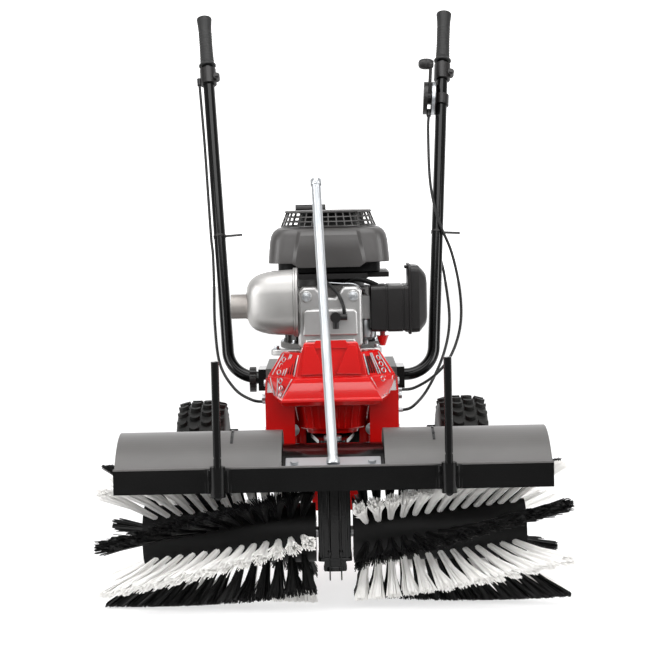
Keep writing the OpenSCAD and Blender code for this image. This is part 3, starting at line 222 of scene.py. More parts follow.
# %% Painted finishes
def grey(value):
    return (value, value, value)


def paint(name, dark, light, rough, peel=0.00006, peel_scale=260, coat=0.0, shine=0.5):
    """A coat whose tone and gloss vary a little, with a faint orange peel."""
    f = Finish(name)
    cloud = f.noise(7, 4)
    speck = f.noise(900, 1)
    gloss = cloud * 0.06 + speck * 0.04 + (rough - 0.05)
    return f.set(Base_Color=f.ramp(cloud, dark, light), Roughness=gloss, Coat_Weight=coat,
                 Specular_IOR_Level=shine, Normal=f.bump(f.noise(peel_scale, 2), peel, 0.6))


gloss_black = paint("gloss black powder coat", grey(0.002), grey(0.004), 0.13, shine=0.24)
satin_hood = paint("satin hood coat", (0.068, 0.065, 0.063), (0.086, 0.082, 0.08), 0.36,
                   peel_scale=420, shine=0.36)
red_enamel = paint("red enamel", (0.4, 0.002, 0.002), (0.48, 0.004, 0.003), 0.26, coat=0.1, shine=0.25)
red_moulded = paint("red moulded gloss", (0.44, 0.003, 0.003), (0.53, 0.006, 0.005), 0.14,
                    peel=0.00003, coat=0.3, shine=0.4)
rim_paint = paint("rim paint", grey(0.36), (0.46, 0.46, 0.45), 0.4)
print("painted:", [m.name for m in (gloss_black, satin_hood, red_enamel, red_moulded, rim_paint)])

# %% [markdown]
# ## Metal
# Zinc plate is bright with a cloudy sheen, cast aluminium is duller and sand grained, and the
# muffler is drawn sheet that has dulled a little in use.


# %% Metal finishes
def metal(name, dark, light, rough, grain_scale, grain, spread=0.14):
    f = Finish(name)
    cloud = f.noise(14, 5)
    return f.set(Base_Color=f.ramp(cloud, dark, light), Metallic=1.0,
                 Roughness=cloud * spread + (rough - spread / 2),
                 Normal=f.bump(f.noise(grain_scale, 3), grain, 0.5))


bright_zinc = metal("bright zinc plate", (0.42, 0.44, 0.46), (0.5, 0.51, 0.52), 0.36, 60, 0.000006, 0.08)
cast_alloy = metal("cast alloy", (0.4, 0.395, 0.39), (0.54, 0.535, 0.53), 0.42, 520, 0.00012)
block_alloy = metal("sooty block alloy", (0.09, 0.088, 0.086), (0.17, 0.165, 0.16), 0.5, 420, 0.00015)
drawn_sheet = metal("drawn muffler sheet", (0.37, 0.362, 0.352), (0.45, 0.442, 0.432), 0.46, 90, 0.00002)
dull_pipe = metal("scorched pipe", (0.2, 0.18, 0.17), (0.36, 0.34, 0.32), 0.5, 200, 0.0001)
turned_steel = metal("turned steel", (0.4, 0.4, 0.41), (0.56, 0.56, 0.57), 0.34, 300, 0.00004)
gear_bronze = metal("gear bronze", (0.45, 0.28, 0.1), (0.58, 0.38, 0.15), 0.36, 300, 0.00004)
print("metals:", [m.name for m in (bright_zinc, cast_alloy, block_alloy, drawn_sheet, dull_pipe)])

# %% [markdown]
# ## Plastic and rubber
# Moulded covers have a fine spark-eroded grain. Rubber is duller and its grain is coarser. The
# floor and the wall glow a little, so that they stay white behind the machine.


# %% Moulded finishes
def moulded(name, dark, light, rough, grain_scale=700, grain=0.00012, spread=0.1, shine=0.5):
    f = Finish(name)
    cloud = f.noise(9, 4)
    return f.set(Base_Color=f.ramp(cloud, dark, light), Roughness=cloud * spread + (rough - spread / 2),
                 Specular_IOR_Level=shine, Normal=f.bump(f.noise(grain_scale, 2), grain, 0.6))


shroud_grey = moulded("grained grey cover", (0.034, 0.032, 0.031), (0.046, 0.043, 0.042), 0.4)
black_cover = moulded("black moulded cover", (0.005, 0.0045, 0.0045), (0.01, 0.009, 0.009), 0.36, shine=0.35)
core_black = moulded("brush core plastic", grey(0.002), grey(0.005), 0.5, 240, 0.0002, shine=0.14)
grip_rubber = moulded("grip rubber", grey(0.006), grey(0.012), 0.56, 420, 0.0002, shine=0.4)
cable_sheath = moulded("cable sheath", grey(0.004), grey(0.009), 0.35, 500, 0.00005, shine=0.25)
tyre_rubber = moulded("tyre rubber", grey(0.004), (0.011, 0.011, 0.01), 0.55, 160, 0.0003, 0.16, 0.22)
white_nylon = moulded("white nylon bristle", (0.86, 0.85, 0.83), (0.95, 0.94, 0.92), 0.42, 300, 0.0001)
black_nylon = moulded("black nylon bristle", grey(0.003), grey(0.008), 0.4, 300, 0.0001, shine=0.2)
white_light = (1, 1, 1, 1)
pale_floor = Finish("studio floor").set(Base_Color=(0.42, 0.42, 0.42, 1), Roughness=0.9,
                                        Emission_Color=white_light, Emission_Strength=0.66)
glowing_wall = Finish("studio wall").set(Base_Color=(0.8, 0.8, 0.8, 1), Emission_Color=white_light,
                                         Emission_Strength=0.95)
backdrop.data.materials.append(glowing_wall)
floor.data.materials.append(pale_floor)
print("finishes in all:", len(bpy.data.materials))

# %% [markdown]
# ## Dressing the solids
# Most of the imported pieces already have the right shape, so each only takes its finish.

# %% A finish for every solid
worn_by = (
    (gloss_black, "swivel_bracket handlebar_clamps head_gearbox front_lip left_stand right_stand"),
    (gloss_black, "handlebar left_lever right_lever"),
    (satin_hood, "hood_left hood_right"),
    (red_enamel, "left_side_plate right_side_plate bell_housing"),
    (red_enamel, "transmission_case_left transmission_case_right"),
    (red_moulded, "front_cover fuel_tap"),
    (bright_zinc, "swivel_pin swivel_lever lever_bolts"),
    (turned_steel, "axle_shaft travel_worm drive_shaft crankshaft head_worm brush_shaft"),
    (gear_bronze, "axle_gear"),
    (rim_paint, "left_rim right_rim"),
    (cast_alloy, "valve_cover carburettor flywheel piston"),
    (block_alloy, "engine_block"),
    (drawn_sheet, "muffler"),
    (shroud_grey, "fan_shroud"),
    (black_cover, "clamp_knob air_filter_box air_filter_cover blower_base starter_cover starter_grip"),
    (black_cover, "fuel_tank fuel_cap lever_brackets throttle_body throttle_lever cable_ties spark_plug"),
    (core_black, "left_core right_core"),
    (grip_rubber, "grips"),
    (cable_sheath, "cables"),
    (tyre_rubber, "left_tyre right_tyre"),
    (white_nylon, "left_white_bristles right_white_bristles"),
    (black_nylon, "left_black_bristles right_black_bristles"),
)
for finish, names in worn_by:
    for name in names.split():
        solid = nodes[name]
        solid.data.materials.clear()
        solid.data.materials.append(finish)
print("dressed", sum(len(names.split()) for _, names in worn_by), "solids")

# %% [markdown]
# ## Bristles
# Each brush half carries eight rows of tufts on a slow helix, four rows white and four black.
# A tuft is a tight bundle of nylon strands that opens into a fan. A particle system would
# not keep its strands on the helix, so the strands are written as one mesh of thin three-sided
# tubes, each a little different, inside the space of the plain strands of the solid.

# %% Sizes of the brush and its tufts
core_radius, brush_radius = 0.054, 0.132
core_start, core_length = 0.034, 0.314
rows, tufts_in_row = 8, 13
row_turn = math.radians(52)
first_row = {-1: math.radians(47), 1: math.radians(65)}
edge_room = 0.012
strands_in_tuft, strand_thickness = 120, 0.0009
outer_lean, inner_lean = 0.122, 0.024
foot_spread, waist_spread, tip_spread = 0.005, 0.0075, 0.013
wild_share, wild_reach = 0.05, 1.35
tip_short, tip_uneven, stray_x, stray_turn = 0.0012, 0.0022, 0.0008, 0.006
waist_share = 0.44
tip_limit, column_limit, push_back = 0.425, 0.0335, 1.4
tuft_step = (core_length - 2 * edge_room) / tufts_in_row
print("tufts:", 2 * rows * tufts_in_row, "of", strands_in_tuft, "strands")


def around_brush(x, radius, angle):
    return brush_axis + Vector((x - brush_axis.x, radius * math.cos(angle), radius * math.sin(angle)))


# %% A strand and a tuft
def strand(points, thickness, verts, faces, turn):
    """A three-sided tube through the points, closed at its tip."""
    start = len(verts)
    for i, point in enumerate(points):
        ahead = points[min(i + 1, len(points) - 1)] - points[max(i - 1, 0)]
        side = ahead.cross(Vector((0.3, 0.5, 0.8))).normalized()
        other = ahead.cross(side).normalized()
        for k in range(3):
            a = turn + k * math.tau / 3
            verts.append(point + thickness * (math.cos(a) * side + math.sin(a) * other))
    for i in range(len(points) - 1):
        for k in range(3):
            a, b = start + 3 * i + k, start + 3 * i + (k + 1) % 3
            faces.append((a, b, b + 3, a + 3))
    last = start + 3 * (len(points) - 1)
    faces.append((last, last + 1, last + 2))
    faces.append((start + 2, start + 1, start))


def tuft(x, angle, sign, fan, rng, verts, faces):
    """A bundle that stands on the core at x and fans out to its tips."""
    share = (abs(x) - core_start) / core_length
    lean = sign * (outer_lean * share - inner_lean)
    for _ in range(strands_in_tuft):
        a, r = rng.uniform(0, math.tau), math.sqrt(rng.random())
        u, v = r * math.cos(a), r * math.sin(a)
        reach = brush_radius - tip_short - abs(rng.gauss(0, tip_uneven))
        foot_turn = angle + foot_spread * v / core_radius
        foot = around_brush(x + foot_spread * u, core_radius - 0.001, foot_turn)
        waist_r = core_radius + 0.5 * (reach - core_radius)
        waist_x = x + waist_share * lean + 0.5 * fan * u
        waist = around_brush(waist_x, waist_r, angle + waist_spread * v / waist_r)
        wild = wild_reach if rng.random() < wild_share else 1.0
        tip_x = x + lean + wild * fan * u + rng.gauss(0, stray_x)
        past = max(0, sign * tip_x - tip_limit)
        short = max(0, column_limit - sign * tip_x)
        tip_x += sign * push_back * (short - past)
        tip_turn = angle + wild * tip_spread * v / reach + rng.gauss(0, stray_turn)
        strand([foot, waist, around_brush(tip_x, reach, tip_turn)], strand_thickness, verts, faces, a)


# %% The four sets of bristles
def bristle_set(name, sign, parity, fan, finish):
    rng = random.Random(name)
    verts, faces = [], []
    row_x = core_start if sign > 0 else -core_start - core_length
    for row in range(parity, rows, 2):
        for i in range(tufts_in_row):
            x = row_x + edge_room + (i + 0.5) * tuft_step
            angle = first_row[sign] + row * math.tau / rows - row_turn * (x - row_x) / core_length
            tuft(x, angle, sign, fan, rng, verts, faces)
    mesh = bpy.data.meshes.new(name)
    mesh.from_pydata(verts, [], faces)
    piece = bpy.data.objects.new(name + "_strands", mesh)
    bpy.context.scene.collection.objects.link(piece)
    mesh.materials.append(finish)
    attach(piece, "brush")
    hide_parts(name)
    return len(faces)


nylons = (("white", 0, 0.016, white_nylon), ("black", 1, 0.02, black_nylon))
for side, sign in (("left", -1), ("right", 1)):
    for colour, parity, fan, finish in nylons:
        name = f"{side}_{colour}_bristles"
        print(name, bristle_set(name, sign, parity, fan, finish), "faces")

# %% [markdown]
# ## Helpers for turned and cut pieces
# Three moves make most of what follows. A closed outline is spun round an axis, a flat outline
# is pulled to a thickness, and a finished piece is put in its place and bound to its body.


# %% Start and finish a mesh
def clear_selection():
    if bpy.context.mode != "OBJECT":
        bpy.ops.object.mode_set(mode="OBJECT")
    bpy.ops.object.select_all(action="DESELECT")


def outline_loop(points):
    """A closed loop of edges through the given points, started from a circle."""
    clear_selection()
    bpy.ops.mesh.primitive_circle_add(vertices=len(points), radius=0.01, fill_type="NOTHING")
    piece = bpy.context.object
    for vertex, point in zip(piece.data.vertices, points):
        vertex.co = point
    return piece


def tidy(piece, smooth=35):
    """Merge doubles, turn the faces outwards and smooth the soft edges."""
    bpy.context.view_layer.objects.active = piece
    bpy.ops.object.mode_set(mode="EDIT")
    bpy.ops.mesh.select_all(action="SELECT")
    bpy.ops.mesh.remove_doubles(threshold=0.00001)
    bpy.ops.mesh.normals_make_consistent(inside=False)
    bpy.ops.object.mode_set(mode="OBJECT")
    clear_selection()
    piece.select_set(True)
    bpy.context.view_layer.objects.active = piece
    bpy.ops.object.shade_smooth_by_angle(angle=math.radians(smooth))
    return piece


def lathe(points, steps=48):
    """Spin a closed outline of (radius, height) pairs round Z."""
    piece = outline_loop([(r, 0, z) for r, z in points])
    bpy.ops.object.mode_set(mode="EDIT")
    bpy.ops.mesh.select_all(action="SELECT")
    bpy.ops.mesh.spin(steps=steps, angle=math.tau, center=(0, 0, 0), axis=(0, 0, 1))
    return tidy(piece)


def slab(points, thickness, bevel, segments=2):
    """Pull a flat outline in XY up along Z, and round its edges."""
    piece = outline_loop([(x, y, 0) for x, y in points])
    bpy.ops.object.mode_set(mode="EDIT")
    bpy.ops.mesh.select_all(action="SELECT")
    bpy.ops.mesh.edge_face_add()
    bpy.ops.mesh.extrude_region_move(TRANSFORM_OT_translate={"value": (0, 0, thickness)})
    return round_edges(tidy(piece), bevel, segments)


def apply_modifier(piece, kind, **settings):
    clear_selection()
    piece.select_set(True)
    bpy.context.view_layer.objects.active = piece
    modifier = piece.modifiers.new(kind.lower(), kind)
    for key, value in settings.items():
        setattr(modifier, key, value)
    bpy.ops.object.modifier_apply(modifier=modifier.name)
    return piece


def round_edges(piece, width, segments=2, angle=30):
    apply_modifier(piece, "BEVEL", width=width, segments=segments, limit_method="ANGLE",
                   angle_limit=math.radians(angle))
    return tidy(piece)


# %% Move, join and place pieces
def moved(piece, matrix):
    """Move a mesh, and keep its faces outwards when the move mirrors it."""
    piece.data.transform(matrix)
    if matrix.determinant() < 0:
        piece.data.flip_normals()
    return piece


def put(piece, name, matrix, finish, body, replaced=()):
    """Move the mesh to its place, name the piece and bind it to its body."""
    moved(piece, matrix)
    piece.matrix_world = Matrix.Identity(4)
    piece.name = name
    piece.data.materials.clear()
    piece.data.materials.append(finish)
    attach(piece, body)
    if replaced:
        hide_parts(*replaced)
    print(name, len(piece.data.polygons), "faces")


def joined(pieces):
    clear_selection()
    for piece in pieces:
        piece.select_set(True)
    bpy.context.view_layer.objects.active = pieces[0]
    if len(pieces) > 1:
        bpy.ops.object.join()
    return pieces[0]


def copy_of(piece, matrix):
    twin = bpy.data.objects.new(piece.name, piece.data.copy())
    bpy.context.scene.collection.objects.link(twin)
    twin.data.transform(matrix)
    return twin


def at(x, y, z):
    return Matrix.Translation((x, y, z))


in_place = Matrix.Identity(4)
along_x = Matrix.Rotation(math.radians(90), 4, "Y")
against_x = Matrix.Rotation(math.radians(-90), 4, "Y")
along_front = Matrix.Rotation(math.radians(90), 4, "X")
mirror_x = Matrix.Scale(-1, 4, (1, 0, 0))

# %% [markdown]
# ## Tyres
# The tyres have a turf tread: four columns of short curved lugs. The carcass is a spun outline.
# One lug is cut from a cube, curved, and copied round the crown.

# %% One lug and a carcass
tyre_half = [(0.1565, 0.0), (0.1563, 0.02), (0.1545, 0.036), (0.1505, 0.0445), (0.144, 0.0485), (0.13, 0.05),
             (0.112, 0.0495), (0.098, 0.046), (0.0885, 0.0405), (0.0865, 0.0355), (0.0785, 0.0355)]
lug_columns, lugs_round = (-0.0355, -0.012, 0.012, 0.0355), 32
lug_taper, lug_narrow, lug_bow = 0.22, 0.06, 0.55
shoulder_foot, crown_foot, shoulder_tilt = 0.1515, 0.155, math.radians(14)


def curved_lug(width, length, height):
    clear_selection()
    bpy.ops.mesh.primitive_cube_add(size=1)
    piece = bpy.context.object
    bpy.ops.object.mode_set(mode="EDIT")
    for cut in (-0.3, -0.1, 0.1, 0.3):
        bpy.ops.mesh.select_all(action="SELECT")
        bpy.ops.mesh.bisect(plane_co=(cut, 0, 0), plane_no=(1, 0, 0))
    bpy.ops.object.mode_set(mode="OBJECT")
    for vertex in piece.data.vertices:
        x, y, z = vertex.co
        up = z + 0.5
        across = x * width * (1 - lug_narrow * up)
        bow = lug_bow * (1 - (2 * x) ** 2)
        vertex.co = (across, y * length * (1 - lug_taper * up) + bow * length, up * height)
    return piece


def tyre(side):
    low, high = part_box(f"{side}_tyre")
    pieces = [lathe(tyre_half + [(r, -z) for r, z in reversed(tyre_half[1:])], 72)]
    lug = curved_lug(0.0205, 0.0098, 0.0097)
    for column, offset in enumerate(lug_columns):
        outer = abs(offset) > 0.02
        foot = shoulder_foot if outer else crown_foot
        seat = Matrix(((0, 0, 1, foot), (0, 1, 0, 0), (1, 0, 0, offset), (0, 0, 0, 1)))
        tilt = Matrix.Rotation(math.copysign(shoulder_tilt, offset) if outer else 0, 4, "Y")
        for i in range(lugs_round):
            turn = Matrix.Rotation((i + 0.5 * (column % 2)) * math.tau / lugs_round, 4, "Z")
            pieces.append(copy_of(lug, turn @ seat @ tilt))
    bpy.data.objects.remove(lug)
    piece = joined(pieces)
    clear_selection()
    tyre_at = at((low.x + high.x) / 2, wheel_axis.y, wheel_axis.z) @ along_x
    put(piece, f"{side}_tyre_rubber", tyre_at, tyre_rubber, "wheels", [f"{side}_tyre"])


tyre("left")
tyre("right")

# %% [markdown]
# ## Grips
# The grips are soft rubber with a flange at the hand's edge, shallow rings under the palm and
# a flared end. The outline is spun and placed on each side tube.

# %% The handlebar's end, and the grips on it
bar_end_x, bar_end_v = 0.269725, 0.847949
ring_count, ring_step, ring_height = 11, 0.0068, 0.0006


def at_bar_end(sign):
    """Frame at the end of a side tube: Z along the tube, Y towards the operator."""
    right = (at(*bar_axis) @ Matrix.Rotation(-bar_lean, 4, "X") @ at(bar_end_x, 0, bar_end_v)
             @ Matrix.Rotation(bar_splay, 4, "Y"))
    return right if sign > 0 else mirror_x @ right


def grip_outline():
    """A waisted grip: a flange at the hand's edge, shallow rings, and a flared end."""
    points = [(0.0126, -0.119), (0.0178, -0.119), (0.019, -0.1178), (0.019, -0.1152), (0.0164, -0.1125)]
    for i in range(ring_count):
        z = -0.108 + i * ring_step
        waist = 0.014 + 0.0012 * ((z + 0.0646) / 0.05) ** 2
        ring = waist + ring_height
        points += [(waist, z), (ring, z + 0.0014), (ring, z + 0.0038), (waist, z + 0.0052)]
    points += [(0.0146, -0.031), (0.0152, -0.018), (0.0163, -0.006), (0.0169, -0.001), (0.0166, 0.0014),
               (0.0156, 0.0026), (0.006, 0.003), (0.0, 0.003), (0.0, 0.0004), (0.0126, 0.0004)]
    return points


grips = [moved(lathe(grip_outline(), 40), at_bar_end(sign)) for sign in (-1, 1)]
put(joined(grips), "rubber_grips", in_place, grip_rubber, "handlebar_set", ["grips"])

# %% Throttle knob and band, and the clamp bosses of the brackets
throttle_y, throttle_drop, throttle_radius = -0.008, 0.215, 0.036
band_in, band_out, band_half = throttle_radius - 0.001, throttle_radius + 0.0009, 0.0034
knob_half = [(0.0, -0.017), (0.005, -0.0166), (0.0092, -0.014), (0.0117, -0.008), (0.0124, -0.001),
             (0.0119, 0.0)]
knob = lathe(knob_half + [(r, -z) for r, z in reversed(knob_half[:-1])], 36)
knob_at = at(0.2223, 0.3575, 1.031) @ along_x
put(knob, "throttle_knob", knob_at, black_cover, "throttle_lever_body")
band = lathe([(band_in, -band_half), (band_out, -band_half), (band_out, band_half), (band_in, band_half)], 48)
band_at = at_bar_end(1) @ at(-0.0182, throttle_y, -throttle_drop) @ along_x
put(band, "throttle_band", band_at, bright_zinc, "handlebar_set")
boss_outline = [(0.0, -0.004), (0.0075, -0.004), (0.0075, 0.015), (0.0065, 0.016), (0.0042, 0.016),
                (0.0042, 0.0195), (0.0, 0.0195)]
bosses = [moved(lathe(boss_outline, 24), at_bar_end(sign) @ at(x, 0, -0.15) @ along_front)
          for sign, x in ((-1, -0.0185), (1, 0.0185))]
put(joined(bosses), "bracket_bosses", in_place, black_cover, "handlebar_set")

# %% [markdown]
# ## Control cables
# Three sheathed cables run from the levers and the throttle down to the transmission and the
# engine. They hang free between the handlebar and the side plates, so each one is a curve through
# the points of its route, given its thickness and turned into a mesh.

# %% Routes of the cables
machine = Vector((0, wheel_axis.y, 0))
sheath_radius = 0.003
left_bar = [(0.0205, 0, -0.1644), (0.0186, 0, -0.3), (0.0186, 0, -0.42), (0.0186, 0, -0.53)]
left_run = [(-0.248, 0.155, 0.625), (-0.245, 0.12, 0.56), (-0.243, 0.085, 0.48), (-0.232, 0.05, 0.4),
            (-0.2, 0.01, 0.352), (-0.165, -0.015, 0.332), (-0.14, -0.02, 0.328), (-0.1284, -0.02, 0.328)]
throttle_bar = [(-0.027, -0.008, -0.2594), (-0.027, -0.008, -0.299)]
throttle_run = [(0.222, 0.205, 0.77), (0.236, 0.167, 0.69), (0.262, 0.15, 0.62), (0.276, 0.12, 0.54),
                (0.274, 0.09, 0.47), (0.252, 0.06, 0.41), (0.215, 0.02, 0.372), (0.17, -0.03, 0.352),
                (0.14, -0.045, 0.35), (0.1284, -0.045, 0.35)]
right_bar = [(0, 0.0205, -0.1644), (0, 0.0205, -0.23), (0, 0.019, -0.36), (0, 0.0186, -0.53)]
right_run = [(0.246, 0.15, 0.57), (0.252, 0.105, 0.48), (0.236, 0.07, 0.41), (0.2, 0.02, 0.345),
             (0.165, -0.06, 0.318), (0.142, -0.075, 0.312), (0.1284, -0.075, 0.312)]
print("points of the cables:", [len(run) for run in (left_run, throttle_run, right_run)])


# %% A sheath along a route, and the three cables
def smooth_route(points):
    """A curve through the points, as a flexible sheath lies."""
    path = []
    steps = 8
    for i in range(len(points) - 1):
        a, b = points[max(i - 1, 0)], points[i]
        c, d = points[i + 1], points[min(i + 2, len(points) - 1)]
        for k in range(steps):
            t = k / steps
            square = (2 * a - 5 * b + 4 * c - d) * t ** 2
            cube = (3 * b - a - 3 * c + d) * t ** 3
            path.append(0.5 * (2 * b + (c - a) * t + square + cube))
    return path + [points[-1]]


def sheathed(name, path, radius):
    """A round tube along a path, made from a curve."""
    clear_selection()
    curve = bpy.data.curves.new(name, "CURVE")
    curve.dimensions = "3D"
    curve.bevel_depth, curve.bevel_resolution = radius, 5
    curve.use_fill_caps = True
    spline = curve.splines.new("POLY")
    spline.points.add(len(path) - 1)
    for spot, point in zip(spline.points, path):
        spot.co = (*point, 1)
    piece = bpy.data.objects.new(name, curve)
    bpy.context.scene.collection.objects.link(piece)
    piece.select_set(True)
    bpy.context.view_layer.objects.active = piece
    bpy.ops.object.convert(target="MESH")
    return tidy(bpy.context.object, 60)


def control_cable(name, sign, bar_points, run_points):
    route = [at_bar_end(sign) @ Vector(p) for p in bar_points] + [Vector(p) + machine for p in run_points]
    path = smooth_route(route)
    piece = sheathed(name, path, sheath_radius)
    piece.data.materials.append(cable_sheath)
    length = sum((b - a).length for a, b in zip(path, path[1:]))
    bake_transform(piece)
    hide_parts("cables")
    print(name, round(length, 3), "m")


control_cable("left_cable", -1, left_bar, left_run)
control_cable("throttle_cable", 1, throttle_bar, throttle_run)
control_cable("right_cable", 1, right_bar, right_run)

# %% [markdown]
# ## Starter rope
# At rest the rope is a short cord inside the boss.

# %% The starter rope between its boss and the grip
rope_foot = Vector((-0.036, 0.0672, 0.7062))
rope_lean = math.radians(53)
rope_radius, rope_in, rope_bend = 0.0021, 0.009, 0.005
rope = lathe([(0, -rope_in), (rope_radius, -rope_in), (rope_radius, rope_in), (0, rope_in)], 16)
moved(rope, at(*rope_foot) @ Matrix.Rotation(-rope_lean, 4, "X"))
rope.name = "starter_rope"
rope.data.materials.clear()
rope.data.materials.append(cable_sheath)
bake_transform(rope)
print("starter_rope:", len(rope.data.polygons), "faces")

# %% [markdown]
# ## Starter grille
# Air is drawn in through a conical grille of square openings round the starter. A cone is cut
# into rings and columns, each face is inset, the middles are deleted, and the lattice that is
# left gets its thickness.

# %% Lattice cone and its cap
grille_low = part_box("starter_cover")[0]
grille_foot, grille_top, grille_columns = 0.095, 0.084, 36
clear_selection()
bpy.ops.mesh.primitive_cone_add(vertices=grille_columns, radius1=grille_foot, radius2=grille_top, depth=0.027,
                                end_fill_type="NOTHING", location=(0, 0, 0.0155))
lattice = bpy.context.object
bpy.ops.object.transform_apply(location=True)
bpy.ops.object.mode_set(mode="EDIT")
for height in (0.011, 0.020):
    bpy.ops.mesh.select_all(action="SELECT")
    bpy.ops.mesh.bisect(plane_co=(0, 0, height), plane_no=(0, 0, 1))
bpy.ops.mesh.select_mode(type="FACE")
bpy.ops.mesh.select_all(action="SELECT")
bpy.ops.mesh.inset(thickness=0.0011, use_individual=True)
bpy.ops.mesh.delete(type="FACE")
bpy.ops.mesh.select_mode(type="VERT")
bpy.ops.object.mode_set(mode="OBJECT")
apply_modifier(lattice, "SOLIDIFY", thickness=0.0022, offset=-1)
cap = lathe([(0.0, 0.0275), (0.08, 0.0275), (0.0865, 0.0285), (0.087, 0.0305), (0.085, 0.0322),
             (0.062, 0.0326), (0.059, 0.0312), (0.03, 0.0312), (0.028, 0.0326), (0.0, 0.0328)], 64)
foot_ring = lathe([(0.087, 0.0003), (0.0955, 0.0003), (0.0955, 0.0028), (0.087, 0.0028)], 64)
# A dark cone inside the grille is painted shade behind its openings.
inside = lathe([(0.0, 0.0006), (0.06, 0.0006), (0.052, 0.027), (0.0, 0.027)], 48)
tab_outline = [(-0.007, 0.0), (0.007, 0.0), (0.005, 0.0085), (-0.005, 0.0085)]
tabs = []
for i in range(4):
    turn = Matrix.Rotation(math.radians(45 + 90 * i), 4, "Z")
    tabs.append(moved(slab(tab_outline, 0.003, 0.0006), turn @ at(0, 0.084, 0.0272)))
grille_at = at(crank_axis.x, crank_axis.y, grille_low.z)
put(joined([lattice, cap, foot_ring] + tabs), "starter_grille", grille_at, shroud_grey, "chassis",
    ["starter_cover"])
put(inside, "starter_inside_painted_shade", grille_at, core_black, "chassis")

# %% [markdown]
# ## More helpers: rounded outlines, skins and bolts
# A cast or moulded shell can be drawn as a few cross sections. A face with the first outline is
# extruded ring by ring, and each new ring is set to the next outline. One function makes bolts of
# any size.


# %% Rounded outline and skin
def rounded(width, height, corner, arc=6):
    """Points of a rectangle with round corners, about its middle."""
    points = []
    for k, (sx, sy) in enumerate(((1, 1), (-1, 1), (-1, -1), (1, -1))):
        for i in range(arc + 1):
            a = math.pi / 2 * (k + i / arc)
            x = sx * (width / 2 - corner) + corner * math.cos(a)
            points.append((x, sy * (height / 2 - corner) + corner * math.sin(a)))
    return points


def skin(sections):
    """Extrude a face from outline to outline. All have the same number of points."""
    piece = outline_loop(sections[0])
    bpy.ops.object.mode_set(mode="EDIT")
    bpy.ops.mesh.select_mode(type="FACE")
    bpy.ops.mesh.select_mode(type="VERT")
    bpy.ops.mesh.select_all(action="SELECT")
    bpy.ops.mesh.edge_face_add()
    bpy.ops.mesh.select_mode(type="FACE")
    for section in sections[1:]:
        bpy.ops.mesh.extrude_region_move(TRANSFORM_OT_translate={"value": (0, 0, 0.001)})
        bpy.ops.object.mode_set(mode="OBJECT")
        end = next(face for face in piece.data.polygons if face.select)
        for index, point in zip(list(end.vertices), section):
            piece.data.vertices[index].co = point
        bpy.ops.object.mode_set(mode="EDIT")
    bpy.ops.mesh.select_mode(type="VERT")
    return tidy(piece)


# %% Hexagon bolts
def hex_bolt(radius, height):
    """A hexagon head on a washer, pointing up."""
    clear_selection()
    bpy.ops.mesh.primitive_cylinder_add(vertices=6, radius=radius, depth=height,
                                        location=(0, 0, 0.0015 + height / 2))
    head = bpy.context.object
    bpy.ops.object.transform_apply(location=True)
    round_edges(head, radius * 0.09)
    washer_r = radius * 1.45
    washer = lathe([(0.0, 0.0), (washer_r, 0.0), (washer_r, 0.0012), (radius * 1.3, 0.0016),
                    (0.0, 0.0016)], 24)
    return joined([head, washer])


def bolts(name, radius, height, places, body, facing=along_front):
    """One bolt, copied to each place and joined."""
    first = hex_bolt(radius, height)
    copies = [copy_of(first, at(*place) @ facing) for place in places]
    bpy.data.objects.remove(first)
    put(joined(copies), name, in_place, bright_zinc, body)


# %% [markdown]
# ## Muffler
# The muffler is a can of drawn sheet: a rounded half pressed deep, with a folded seam where it
# meets the cylinder, and a short outlet pipe that heat has browned.

# %% Muffler can, seam and pipe
can_y, can_z = machine.y - 0.262, 0.546
seat_x = -0.06
can_end = seat_x - 0.098
can_shares = [(0.0, 0.34), (0.015, 0.5), (0.05, 0.64), (0.1, 0.74), (0.18, 0.83), (0.28, 0.895), (0.42, 0.95),
              (0.6, 0.98), (0.86, 1.0), (0.905, 1.0)]
seam_shares = [(0.0095, 1.03), (0.0088, 1.055), (0.006, 1.055), (0.0053, 1.04), (0.0048, 1.055),
               (0.0012, 1.055), (0.0003, 1.03)]


def can_ring(x, size):
    return [(x, can_y + u, can_z + v) for u, v in rounded(0.104 * size, 0.124 * size, 0.042 * size)]


can = skin([can_ring(can_end + along * (seat_x - can_end), size) for along, size in can_shares])
seam = skin([can_ring(seat_x - back, size) for back, size in seam_shares])
put(joined([can, seam]), "muffler_can", in_place, drawn_sheet, "chassis", ["muffler"])
pipe_at = at(can_end, can_y, 0.54) @ along_x
pipe = lathe([(0.0195, -0.03), (0.0228, -0.03), (0.0232, -0.0285), (0.0232, -0.002), (0.026, 0.004),
              (0.0195, 0.004)], 40)
put(pipe, "muffler_pipe", pipe_at, dull_pipe, "chassis")
# A dark disc set a little inside the outlet pipe is painted shade in its bore.
pipe_shade_disc = lathe([(0.0, -0.012), (0.0196, -0.012), (0.0196, -0.01), (0.0, -0.01)], 24)
put(pipe_shade_disc, "muffler_pipe_painted_shade", pipe_at, core_black, "chassis")

# %% [markdown]
# ## Valve cover
# The cylinder's valve cover is a casting with round edges, a V notch at its top, a raised bare
# panel and a bolt at each top corner. Outlines are pulled to their depth and their edges rounded.

